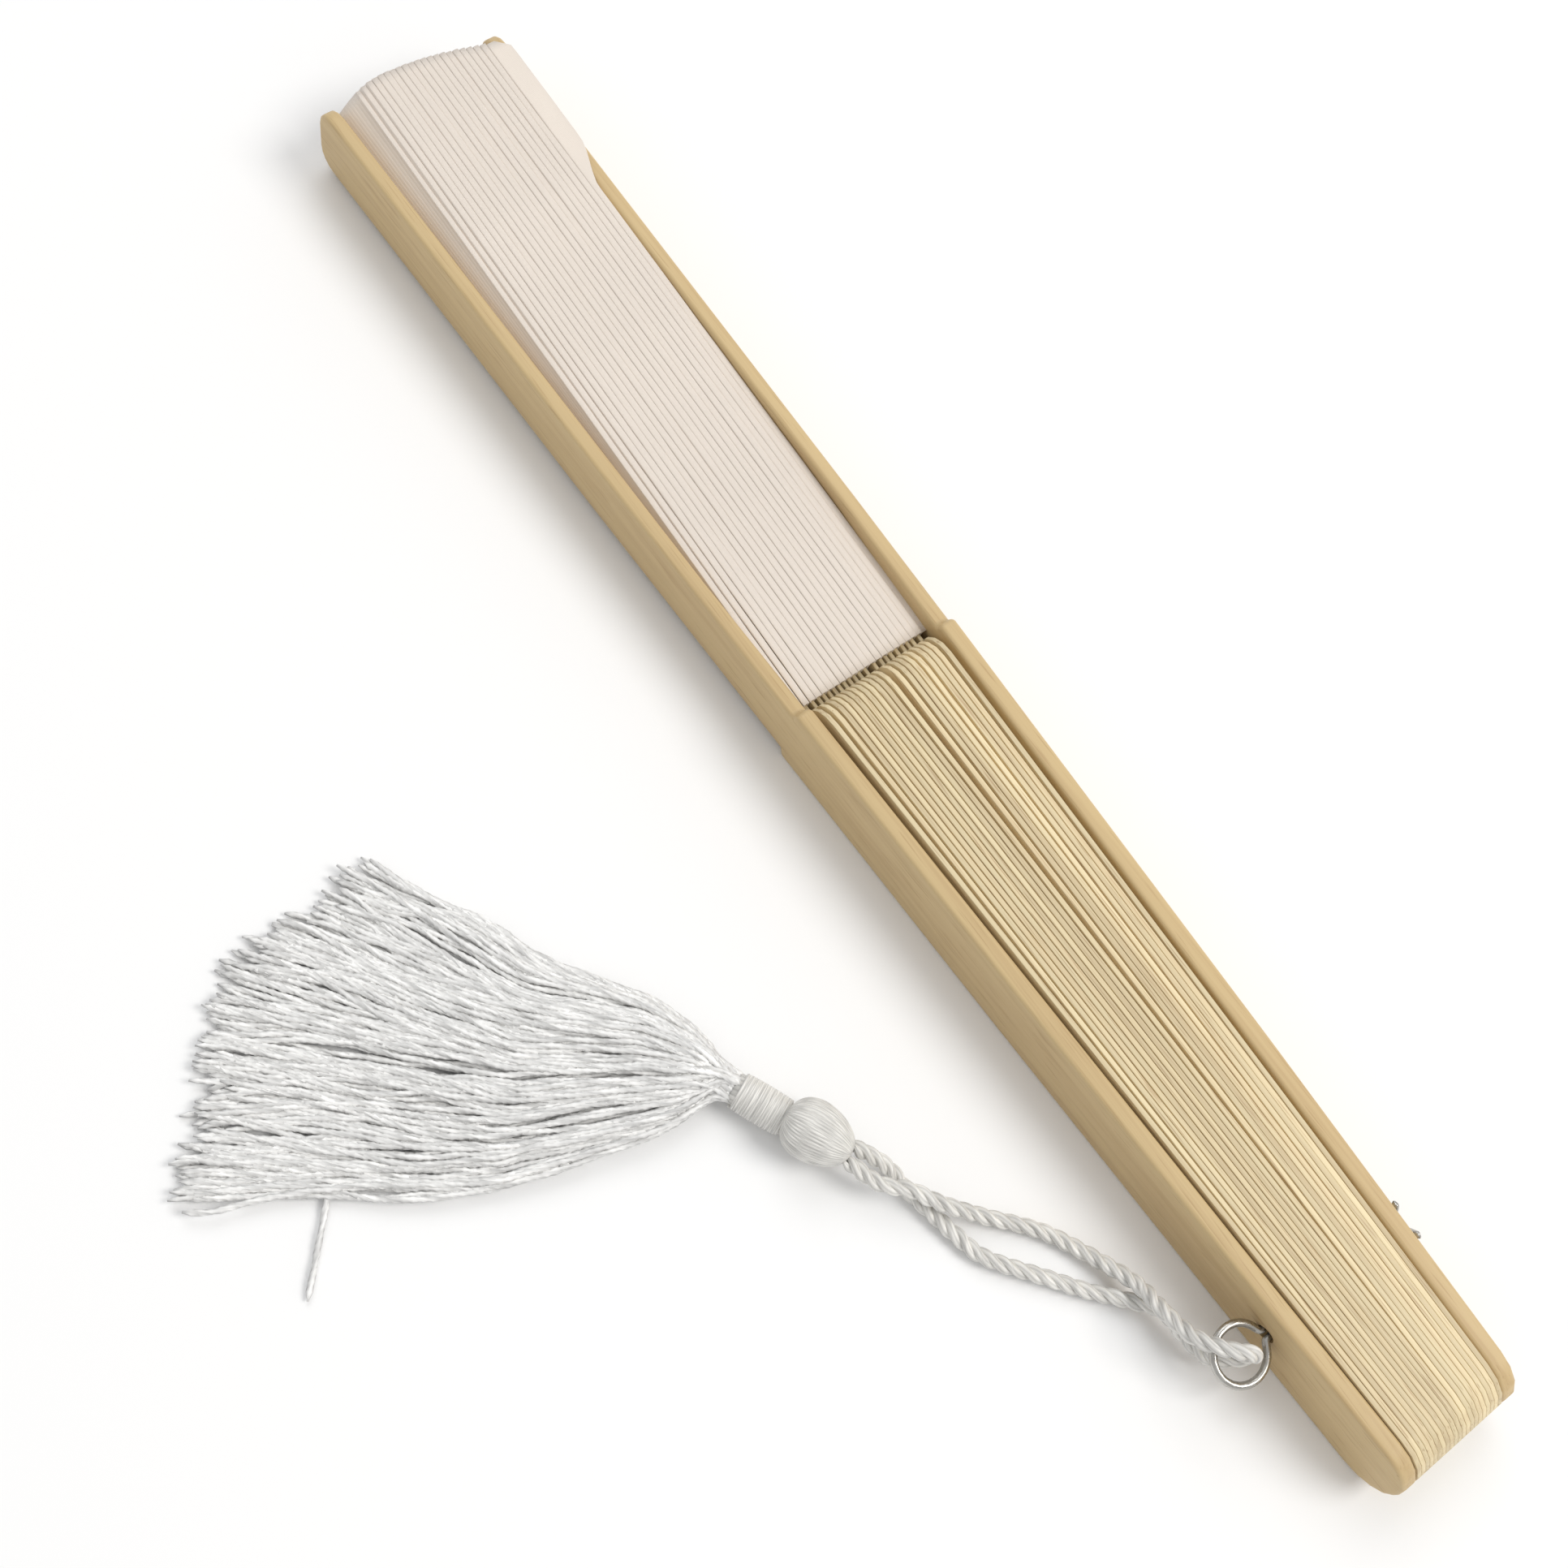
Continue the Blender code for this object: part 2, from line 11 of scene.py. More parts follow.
import bmesh
import bpy
from bpy.props import FloatProperty, FloatVectorProperty, IntProperty, PointerProperty
from mathutils import Matrix, Vector, noise
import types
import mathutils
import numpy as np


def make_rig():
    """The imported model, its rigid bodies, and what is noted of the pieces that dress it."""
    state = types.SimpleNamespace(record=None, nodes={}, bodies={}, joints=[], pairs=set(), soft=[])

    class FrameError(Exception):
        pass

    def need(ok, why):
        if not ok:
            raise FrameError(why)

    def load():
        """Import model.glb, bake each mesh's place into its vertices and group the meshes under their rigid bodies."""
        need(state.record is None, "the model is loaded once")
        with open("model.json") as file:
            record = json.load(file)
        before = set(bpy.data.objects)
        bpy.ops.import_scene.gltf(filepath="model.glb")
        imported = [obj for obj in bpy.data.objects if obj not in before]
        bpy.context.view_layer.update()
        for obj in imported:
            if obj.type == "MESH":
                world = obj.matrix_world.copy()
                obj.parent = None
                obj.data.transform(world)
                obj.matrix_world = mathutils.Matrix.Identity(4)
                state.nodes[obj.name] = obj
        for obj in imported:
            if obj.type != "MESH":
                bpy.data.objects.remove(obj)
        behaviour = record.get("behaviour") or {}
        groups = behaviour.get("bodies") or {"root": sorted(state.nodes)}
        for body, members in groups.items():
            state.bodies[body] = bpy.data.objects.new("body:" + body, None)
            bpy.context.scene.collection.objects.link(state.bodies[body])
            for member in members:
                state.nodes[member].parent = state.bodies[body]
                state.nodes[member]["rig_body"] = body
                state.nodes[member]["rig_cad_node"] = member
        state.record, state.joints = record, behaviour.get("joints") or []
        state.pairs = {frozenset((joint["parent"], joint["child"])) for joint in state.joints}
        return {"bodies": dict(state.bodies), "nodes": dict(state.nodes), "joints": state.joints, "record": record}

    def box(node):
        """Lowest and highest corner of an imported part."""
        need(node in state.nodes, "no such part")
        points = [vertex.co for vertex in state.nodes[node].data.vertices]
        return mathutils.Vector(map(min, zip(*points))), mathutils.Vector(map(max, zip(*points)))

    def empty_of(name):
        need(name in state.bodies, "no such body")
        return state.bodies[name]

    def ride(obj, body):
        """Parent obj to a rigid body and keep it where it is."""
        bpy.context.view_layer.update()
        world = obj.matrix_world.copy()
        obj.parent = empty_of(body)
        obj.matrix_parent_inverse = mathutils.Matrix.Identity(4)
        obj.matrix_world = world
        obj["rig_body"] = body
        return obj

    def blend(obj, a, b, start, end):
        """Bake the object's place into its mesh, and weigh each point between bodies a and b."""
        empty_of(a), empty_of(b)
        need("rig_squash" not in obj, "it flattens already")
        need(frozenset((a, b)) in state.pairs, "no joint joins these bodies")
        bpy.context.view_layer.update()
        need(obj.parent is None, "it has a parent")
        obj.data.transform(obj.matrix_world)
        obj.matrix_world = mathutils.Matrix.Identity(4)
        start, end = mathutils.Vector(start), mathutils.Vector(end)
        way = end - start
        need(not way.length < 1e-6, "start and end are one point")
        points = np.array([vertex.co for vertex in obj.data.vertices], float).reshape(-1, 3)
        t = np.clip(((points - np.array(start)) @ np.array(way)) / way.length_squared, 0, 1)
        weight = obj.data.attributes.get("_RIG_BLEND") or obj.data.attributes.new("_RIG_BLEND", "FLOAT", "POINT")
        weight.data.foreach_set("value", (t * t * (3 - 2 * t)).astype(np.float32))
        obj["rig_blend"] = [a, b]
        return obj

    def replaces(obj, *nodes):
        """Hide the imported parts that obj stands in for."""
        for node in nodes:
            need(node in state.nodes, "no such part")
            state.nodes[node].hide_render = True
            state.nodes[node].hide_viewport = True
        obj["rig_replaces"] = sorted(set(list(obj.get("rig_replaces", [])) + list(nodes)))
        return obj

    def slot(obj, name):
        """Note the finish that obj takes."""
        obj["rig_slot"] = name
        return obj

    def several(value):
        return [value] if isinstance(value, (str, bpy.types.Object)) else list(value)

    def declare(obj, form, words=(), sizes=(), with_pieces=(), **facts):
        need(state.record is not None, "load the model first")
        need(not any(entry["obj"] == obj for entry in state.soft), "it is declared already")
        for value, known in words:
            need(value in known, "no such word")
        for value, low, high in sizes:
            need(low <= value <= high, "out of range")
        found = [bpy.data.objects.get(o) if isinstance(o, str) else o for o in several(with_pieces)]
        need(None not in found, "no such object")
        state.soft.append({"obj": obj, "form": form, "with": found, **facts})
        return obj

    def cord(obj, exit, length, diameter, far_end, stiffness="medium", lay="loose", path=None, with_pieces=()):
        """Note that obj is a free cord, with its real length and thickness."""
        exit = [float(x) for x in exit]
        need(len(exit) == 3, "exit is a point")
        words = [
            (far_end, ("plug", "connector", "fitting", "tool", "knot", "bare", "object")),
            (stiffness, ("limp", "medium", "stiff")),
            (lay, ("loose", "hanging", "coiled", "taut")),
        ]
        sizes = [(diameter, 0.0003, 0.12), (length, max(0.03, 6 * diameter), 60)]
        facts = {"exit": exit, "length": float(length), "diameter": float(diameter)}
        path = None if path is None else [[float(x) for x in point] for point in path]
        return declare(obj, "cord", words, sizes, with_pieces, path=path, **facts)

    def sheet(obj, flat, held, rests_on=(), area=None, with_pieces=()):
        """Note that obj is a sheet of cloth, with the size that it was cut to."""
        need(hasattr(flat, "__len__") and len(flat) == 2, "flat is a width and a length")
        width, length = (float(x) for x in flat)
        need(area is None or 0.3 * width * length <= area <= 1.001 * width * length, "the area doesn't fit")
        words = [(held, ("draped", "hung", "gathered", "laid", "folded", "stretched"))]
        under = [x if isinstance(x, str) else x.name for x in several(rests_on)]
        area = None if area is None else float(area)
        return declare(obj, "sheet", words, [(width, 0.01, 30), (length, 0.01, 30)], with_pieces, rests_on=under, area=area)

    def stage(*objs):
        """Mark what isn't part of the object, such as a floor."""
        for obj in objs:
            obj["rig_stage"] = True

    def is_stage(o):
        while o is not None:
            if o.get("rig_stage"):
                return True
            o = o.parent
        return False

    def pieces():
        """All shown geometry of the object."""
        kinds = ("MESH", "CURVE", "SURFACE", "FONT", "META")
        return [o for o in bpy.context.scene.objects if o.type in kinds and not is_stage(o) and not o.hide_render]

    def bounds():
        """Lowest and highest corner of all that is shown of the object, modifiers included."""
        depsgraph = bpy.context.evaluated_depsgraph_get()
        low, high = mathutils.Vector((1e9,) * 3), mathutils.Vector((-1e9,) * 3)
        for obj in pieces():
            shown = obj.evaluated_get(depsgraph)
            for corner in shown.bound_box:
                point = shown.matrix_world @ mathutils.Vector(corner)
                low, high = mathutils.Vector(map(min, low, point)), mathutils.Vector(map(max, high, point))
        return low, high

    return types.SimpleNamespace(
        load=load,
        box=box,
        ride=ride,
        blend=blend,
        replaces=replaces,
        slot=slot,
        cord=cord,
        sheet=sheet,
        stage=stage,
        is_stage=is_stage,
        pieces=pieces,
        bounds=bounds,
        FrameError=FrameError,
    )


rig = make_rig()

bl_info = {
    "name": "Folding Fan",
    "version": (1, 0, 0),
    "blender": (4, 5, 0),
    "location": "View3D > Sidebar > Fan",
    "description": "Wooden sticks, a pleated cloth leaf and a cord tassel for the folding fan",
    "category": "Object",
}

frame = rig.load()
CAD_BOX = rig.bounds()
BEHAVIOUR = frame["record"]["behaviour"]
PIVOT = Vector(BEHAVIOUR["joints"][0]["pos_m"])
MM = 0.001
STICKS = 1 + sum(1 for node in frame["nodes"] if node.startswith("rib_")) + 1
GAPS = STICKS - 1


def stick_node(stick):
    return {0: "front_guard", GAPS: "back_guard"}.get(stick, f"rib_{stick:02d}")


# ---------------------------------------------------------------- settings


class FanSizes(bpy.types.PropertyGroup):
    """Sizes of the fan's finish."""

    guard_round: FloatProperty(
        name="Guard rounding", description="Radius of the guards' long edges",
        default=0.6 * MM, unit="LENGTH")
    rib_round: FloatProperty(
        name="Rib rounding", description="Radius of the ribs' long edges",
        default=0.08 * MM, unit="LENGTH")
    cloth: FloatProperty(
        name="Cloth", description="Thickness of the leaf's cloth",
        default=0.1 * MM, unit="LENGTH")
    pleat_groove: FloatProperty(
        name="Pleat groove", description="Space between two neighbouring pleats at their tops",
        default=0.02 * MM, unit="LENGTH")
    cord: FloatProperty(
        name="Cord", description="Diameter of the cord",
        default=2.2 * MM, unit="LENGTH")
    cord_twist: FloatProperty(
        name="Cord twist", description="Length of one full turn of the cord's strands",
        default=6.4 * MM, unit="LENGTH")
    threads: IntProperty(
        name="Threads", description="Threads in the tassel's skirt",
        default=250)
    thread: FloatProperty(
        name="Thread", description="Width of one skirt thread",
        default=0.95 * MM, unit="LENGTH")


class FanColours(bpy.types.PropertyGroup):
    """Colours of the fan's finish."""

    guard: FloatVectorProperty(
        name="Guard wood", description="Lighter colour of the guards",
        subtype="COLOR", size=3, default=(0.61, 0.455, 0.235))
    rib: FloatVectorProperty(
        name="Rib wood", description="Lighter colour of the ribs",
        subtype="COLOR", size=3, default=(0.79, 0.665, 0.42))
    grain: FloatVectorProperty(
        name="Grain", description="Dark lines of the wood",
        subtype="COLOR", size=3, default=(0.36, 0.21, 0.09))
    leaf: FloatVectorProperty(
        name="Leaf", description="Cloth of the leaf",
        subtype="COLOR", size=3, default=(0.85, 0.765, 0.68))
    thread: FloatVectorProperty(
        name="Thread", description="Cord, knot and neck",
        subtype="COLOR", size=3, default=(0.82, 0.805, 0.765))
    skirt: FloatVectorProperty(
        name="Skirt", description="Threads of the skirt",
        subtype="COLOR", size=3, default=(0.93, 0.925, 0.91))
    steel: FloatVectorProperty(
        name="Steel", description="Pin and washer",
        subtype="COLOR", size=3, default=(0.52, 0.51, 0.48))


# ---------------------------------------------------------------- shader helpers


def node(tree, kind, place=(0, 0), **values):
    """A new shader node. Values name its inputs or, failing that, its properties."""
    made = tree.nodes.new(kind)
    made.location = place
    for name, value in values.items():
        if name in made.inputs:
            made.inputs[name].default_value = value
        else:
            setattr(made, name, value)
    return made


def group(name, inputs, outputs):
    """An empty shader group with its two ends: (tree, incoming, outgoing)."""
    tree = bpy.data.node_groups.new(name, "ShaderNodeTree")
    for label, kind, default in inputs:
        socket = tree.interface.new_socket(name=label, in_out="INPUT", socket_type=kind)
        if default is not None:
            socket.default_value = default
    for label, kind in outputs:
        tree.interface.new_socket(name=label, in_out="OUTPUT", socket_type=kind)
    return tree, tree.nodes.new("NodeGroupInput"), tree.nodes.new("NodeGroupOutput")


def link(tree, *pairs):
    for source, target in pairs:
        tree.links.new(source, target)


def ramp(tree, low, high, low_out=0.0, high_out=1.0):
    """Maps low..high to low_out..high_out, smoothly and clamped."""
    made = tree.nodes.new("ShaderNodeMapRange")
    made.interpolation_type = "SMOOTHSTEP"
    for label, value in zip(("From Min", "From Max", "To Min", "To Max"), (low, high, low_out, high_out)):
        made.inputs[label].default_value = value
    return made


def mixed(tree, first, second, factor, blend="MIX"):
    """Colour first mixed with second. Each is a socket or a value."""
    made = tree.nodes.new("ShaderNodeMix")
    made.data_type = "RGBA"
    made.blend_type = blend
    for index, value in ((6, first), (7, second), (0, factor)):
        if isinstance(value, bpy.types.NodeSocket):
            tree.links.new(value, made.inputs[index])
        elif index:
            made.inputs[index].default_value = (*value, 1)
        else:
            made.inputs[index].default_value = value
    return made.outputs[2]


def maths(tree, operation, first, second=0.0):
    made = tree.nodes.new("ShaderNodeMath")
    made.operation = operation
    for index, value in enumerate((first, second)):
        if isinstance(value, bpy.types.NodeSocket):
            tree.links.new(value, made.inputs[index])
        else:
            made.inputs[index].default_value = value
    return made.outputs[0]


def spotted(tree, vector, scale, detail=2.0, roughness=0.5):
    """Noise over a vector stretched by scale."""
    place = tree.nodes.new("ShaderNodeMapping")
    place.inputs["Scale"].default_value = scale
    made = node(tree, "ShaderNodeTexNoise", Scale=1.0, Detail=detail, Roughness=roughness)
    link(tree, (vector, place.inputs["Vector"]), (place.outputs[0], made.inputs["Vector"]))
    return made.outputs["Fac"]


def grain_group():
    """Straight-grained wood that runs along X, with fine dark pores, slow changes of tone, and rounded edges lightened
    partly by wear and partly by a painted highlight.
    """
    tree, enter, leave = group(
        "Straight grain",
        (("Vector", "NodeSocketVector", None), ("Light", "NodeSocketColor", (1, 1, 1, 1)),
         ("Dark", "NodeSocketColor", (0, 0, 0, 1)), ("Tone", "NodeSocketFloat", 0.0),
         ("Edge wear and highlight", "NodeSocketFloat", 0.0), ("Pores", "NodeSocketFloat", 0.5)),
        (("Color", "NodeSocketColor"), ("Roughness", "NodeSocketFloat"), ("Height", "NodeSocketFloat")),
    )
    vector = enter.outputs["Vector"]
    offset = tree.nodes.new("ShaderNodeCombineXYZ")
    link(tree, (maths(tree, "MULTIPLY", enter.outputs["Tone"], 0.37), offset.inputs["X"]))
    moved = node(tree, "ShaderNodeVectorMath", operation="ADD")
    link(tree, (vector, moved.inputs[0]), (offset.outputs[0], moved.inputs[1]))
    moved = moved.outputs[0]
    slow = spotted(tree, moved, (14, 210, 210), 2)
    bands = spotted(tree, moved, (22, 1100, 700), 3, 0.6)
    fibre = spotted(tree, moved, (90, 5200, 3600), 2, 0.6)
    pores = ramp(tree, 0.60, 0.74)
    link(tree, (spotted(tree, moved, (120, 4200, 2600), 1), pores.inputs["Value"]))
    shade = ramp(tree, 0.40, 0.72, 0.0, 0.26)
    link(tree, (bands, shade.inputs["Value"]))
    colour = mixed(tree, enter.outputs["Light"], enter.outputs["Dark"], shade.outputs[0])
    blotch = ramp(tree, 0.35, 0.72, 0.0, 0.16)
    link(tree, (slow, blotch.inputs["Value"]))
    colour = mixed(tree, colour, enter.outputs["Dark"], blotch.outputs[0])
    pitted = maths(tree, "MULTIPLY", pores.outputs[0], enter.outputs["Pores"])
    colour = mixed(tree, colour, enter.outputs["Dark"], pitted)
    tone = maths(tree, "ADD", maths(tree, "MULTIPLY", enter.outputs["Tone"], 0.12), 1.0)
    bright = tree.nodes.new("ShaderNodeHueSaturation")
    link(tree, (colour, bright.inputs["Color"]), (tone, bright.inputs["Value"]))
    # The rounded edges are lighter in patches, partly as wear and partly as a painted highlight where light catches
    # them, and a little less rough.
    edge_patches = ramp(tree, 0.3, 0.7, 0.25, 1.0)
    link(tree, (slow, edge_patches.inputs["Value"]))
    wear_and_highlight = maths(tree, "MULTIPLY", enter.outputs["Edge wear and highlight"], edge_patches.outputs[0])
    colour = mixed(tree, bright.outputs[0], enter.outputs["Light"], maths(tree, "MULTIPLY", wear_and_highlight, 0.35))
    rough = maths(tree, "ADD", maths(tree, "MULTIPLY", fibre, 0.22), 0.40)
    rough = maths(tree, "SUBTRACT", rough, maths(tree, "MULTIPLY", wear_and_highlight, 0.1))
    height = maths(tree, "ADD", maths(tree, "MULTIPLY", fibre, 0.6), maths(tree, "MULTIPLY", bands, 0.4))
    height = maths(tree, "SUBTRACT", height, maths(tree, "MULTIPLY", pores.outputs[0], 0.5))
    link(tree, (colour, leave.inputs["Color"]), (rough, leave.inputs["Roughness"]),
         (height, leave.inputs["Height"]))
    return tree


def strands_group():
    """Fine lengthwise fibres with a painted sheen in streaks, on a thread whose UV map runs along U in metres and
    round V from 0 to 1.
    """
    tree, enter, leave = group(
        "Silky strands",
        (("UV", "NodeSocketVector", None), ("Base", "NodeSocketColor", (1, 1, 1, 1)),
         ("Slant", "NodeSocketFloat", 300.0), ("Strands", "NodeSocketFloat", 10.0)),
        (("Color", "NodeSocketColor"), ("Roughness", "NodeSocketFloat"), ("Height", "NodeSocketFloat")),
    )
    parts = tree.nodes.new("ShaderNodeSeparateXYZ")
    link(tree, (enter.outputs["UV"], parts.inputs[0]))
    along = maths(tree, "MULTIPLY", parts.outputs["X"], enter.outputs["Slant"])
    across = maths(tree, "MULTIPLY", parts.outputs["Y"], enter.outputs["Strands"])
    phase = maths(tree, "MULTIPLY", maths(tree, "ADD", along, across), math.tau)
    wave = maths(tree, "ADD", maths(tree, "MULTIPLY", maths(tree, "SINE", phase), 0.5), 0.5)
    fuzz = spotted(tree, enter.outputs["UV"], (900, 14, 1), 3, 0.6)
    slow = spotted(tree, enter.outputs["UV"], (120, 2, 1), 2)
    shade = ramp(tree, 0.0, 0.55, 0.8, 1.0)
    link(tree, (wave, shade.inputs["Value"]))
    patch = ramp(tree, 0.3, 0.7, 0.9, 1.06)
    link(tree, (slow, patch.inputs["Value"]))
    # Painted sheen: streaks along the threads, lighter and darker, stand in for the satin's shine.
    painted_sheen = ramp(tree, 0.40, 0.60, 0.84, 1.06)
    link(tree, (spotted(tree, enter.outputs["UV"], (170, 1.1, 1), 2, 0.6), painted_sheen.inputs["Value"]))
    value = tree.nodes.new("ShaderNodeHueSaturation")
    lit = maths(tree, "MULTIPLY", shade.outputs[0], patch.outputs[0])
    lit = maths(tree, "MULTIPLY", lit, painted_sheen.outputs[0])
    link(tree, (enter.outputs["Base"], value.inputs["Color"]), (lit, value.inputs["Value"]))
    rough = maths(tree, "ADD", maths(tree, "MULTIPLY", fuzz, 0.25), 0.26)
    height = maths(tree, "ADD", wave, maths(tree, "MULTIPLY", fuzz, 0.6))
    link(tree, (value.outputs[0], leave.inputs["Color"]), (rough, leave.inputs["Roughness"]),
         (height, leave.inputs["Height"]))
    return tree


def shader(name, metallic=0.0, bump=(0.0, 0.0), **constants):
    """A material with its Principled and Bump: (material, tree, principled, bump)."""
    material = bpy.data.materials.new(name)
    material.use_nodes = True
    tree = material.node_tree
    principled = tree.nodes["Principled BSDF"]
    principled.inputs["Metallic"].default_value = metallic
    for label, value in constants.items():
        principled.inputs[label.replace("_", " ")].default_value = value
    lift = node(tree, "ShaderNodeBump", (-200, -300), Strength=bump[0], Distance=bump[1])
    link(tree, (lift.outputs[0], principled.inputs["Normal"]))
    return material, tree, principled, lift


def place_group(tree, made, **values):
    used = tree.nodes.new("ShaderNodeGroup")
    used.node_tree = made
    for label, value in values.items():
        used.inputs[label].default_value = (*value, 1) if hasattr(value, "__len__") else value
    return used


def wear_group(tree, used, principled, lift):
    link(tree, (used.outputs["Color"], principled.inputs["Base Color"]),
         (used.outputs["Roughness"], principled.inputs["Roughness"]),
         (used.outputs["Height"], lift.inputs["Height"]))


def wood(name, grain, light, dark, pores):
    material, tree, principled, lift = shader(name, bump=(0.35, 0.06 * MM), IOR=1.48)
    used = place_group(tree, grain, Light=light, Dark=dark, Pores=pores)
    spot = tree.nodes.new("ShaderNodeTexCoord")
    link(tree, (spot.outputs["Object"], used.inputs["Vector"]))
    # Tone is a random shift for each stick; the edge attribute lightens the rounded edges, partly as wear and partly
    # as a painted highlight.
    for label, attribute in (("Tone", "tone"), ("Edge wear and highlight", "edge_wear_and_highlight")):
        read = node(tree, "ShaderNodeAttribute", attribute_name=attribute)
        link(tree, (read.outputs["Fac"], used.inputs[label]))
    wear_group(tree, used, principled, lift)
    return material


def thread_like(name, strands, base, slant, count, bump=0.5):
    material, tree, principled, lift = shader(
        name, bump=(bump, 0.09 * MM), Sheen_Weight=0.15, Sheen_Roughness=0.4, IOR=1.5)
    used = place_group(tree, strands, Base=base, Slant=slant, Strands=count)
    link(tree, (node(tree, "ShaderNodeUVMap", uv_map="UVMap").outputs[0], used.inputs["UV"]))
    wear_group(tree, used, principled, lift)
    return material


def leaf_cloth(colour):
    """Fine plain weave: UV in metres along the pleat and across it."""
    material, tree, principled, lift = shader(
        "Leaf cloth", bump=(0.45, 0.05 * MM), Sheen_Weight=0.25, Sheen_Roughness=0.6, IOR=1.4)
    spot = node(tree, "ShaderNodeUVMap", uv_map="UVMap")
    parts = tree.nodes.new("ShaderNodeSeparateXYZ")
    link(tree, (spot.outputs[0], parts.inputs[0]))
    weave = None
    for label in ("X", "Y"):
        wave = maths(tree, "SINE", maths(tree, "MULTIPLY", parts.outputs[label], math.tau / (0.30 * MM)))
        wave = maths(tree, "ABSOLUTE", wave)
        weave = wave if weave is None else maths(tree, "MULTIPLY", weave, wave)
    slub = spotted(tree, spot.outputs[0], (260, 5200, 1), 2, 0.6)
    soft = spotted(tree, spot.outputs[0], (45, 160, 1), 3)
    shade = ramp(tree, 0.0, 0.5, 0.93, 1.0)
    link(tree, (weave, shade.inputs["Value"]))
    patch = ramp(tree, 0.3, 0.7, 0.965, 1.02)
    link(tree, (soft, patch.inputs["Value"]))
    value = node(tree, "ShaderNodeHueSaturation", Color=(*colour, 1))
    link(tree, (maths(tree, "MULTIPLY", shade.outputs[0], patch.outputs[0]), value.inputs["Value"]))
    rough = maths(tree, "ADD", maths(tree, "MULTIPLY", slub, 0.15), 0.78)
    height = maths(tree, "ADD", weave, maths(tree, "MULTIPLY", slub, 0.7))
    link(tree, (value.outputs[0], principled.inputs["Base Color"]), (rough, principled.inputs["Roughness"]),
         (height, lift.inputs["Height"]))
    return material


def drawn_steel(colour):
    material, tree, principled, lift = shader("Drawn steel wire", 1.0, bump=(0.15, 0.02 * MM))
    spot = tree.nodes.new("ShaderNodeTexCoord")
    marks = spotted(tree, spot.outputs["Object"], (1400, 1400, 1400), 3, 0.6)
    clouds = spotted(tree, spot.outputs["Object"], (380, 380, 380), 2)
    tint = ramp(tree, 0.3, 0.7, 0.0, 0.35)
    link(tree, (clouds, tint.inputs["Value"]))
    rough = ramp(tree, 0.3, 0.7, 0.2, 0.42)
    link(tree, (marks, rough.inputs["Value"]))
    link(tree, (mixed(tree, colour, (0.30, 0.27, 0.24), tint.outputs[0]), principled.inputs["Base Color"]),
         (rough.outputs[0], principled.inputs["Roughness"]), (marks, lift.inputs["Height"]))
    return material


def materials():
    """The fan's materials by name, made once."""
    if "Guard wood" not in bpy.data.materials:
        colours = bpy.context.scene.fan_colours
        grain, strands = grain_group(), strands_group()
        wood("Guard wood", grain, colours.guard, colours.grain, 0.35)
        wood("Rib wood", grain, colours.rib, colours.grain, 0.5)
        leaf_cloth(colours.leaf)
        drawn_steel(colours.steel)
        thread_like("Cord strands", strands, colours.thread, 700.0, 5.0)
        thread_like("Satin threads", strands, colours.skirt, 60.0, 2.0, bump=0.2)
        thread_like("Wound thread", strands, colours.thread, 200.0, 3.0)
        thread_like("Knot satin", strands, colours.thread, 0.0, 1.0)
    return bpy.data.materials


# ---------------------------------------------------------------- mesh helpers


def finished(name, bm, material):
    """A smooth-shaded piece at the origin from a bmesh, which is used up."""
    mesh = bpy.data.meshes.new(name)
    bm.to_mesh(mesh)
    bm.free()
    mesh.materials.append(materials()[material])
    mesh.shade_smooth()
    piece = bpy.data.objects.new(name, mesh)
    bpy.context.scene.collection.objects.link(piece)
    return piece


def draped(columns, rows, place, size=(1.0, 1.0), closed=False, start=0.0):
    """A bmesh grid with each point put at place(along, around), both from 0 to 1.

    A closed one has its rows joined into a tube and its ends filled. The UV map holds
    along and around, times size, with along counted from start."""
    bm = bmesh.new()
    uv = bm.loops.layers.uv.new("UVMap")
    bmesh.ops.create_grid(bm, x_segments=columns, y_segments=rows, size=0.5)
    for face in bm.faces:
        for loop in face.loops:
            loop[uv].uv = (start + (loop.vert.co.x + 0.5) * size[0], (loop.vert.co.y + 0.5) * size[1])
    for vert in bm.verts:
        vert.co = place(vert.co.x + 0.5, vert.co.y + 0.5)
    if closed:
        bmesh.ops.remove_doubles(bm, verts=bm.verts, dist=1e-6)
        bmesh.ops.holes_fill(bm, edges=[edge for edge in bm.edges if edge.is_boundary], sides=0)
        bmesh.ops.recalc_face_normals(bm, faces=bm.faces)
    return bm


def gathered(parts):
    """One bmesh from several, which are used up."""
    whole = bmesh.new()
    for bm in parts:
        mesh = bpy.data.meshes.new("part")
        bm.to_mesh(mesh)
        bm.free()
        whole.from_mesh(mesh)
        bpy.data.meshes.remove(mesh)
    return whole


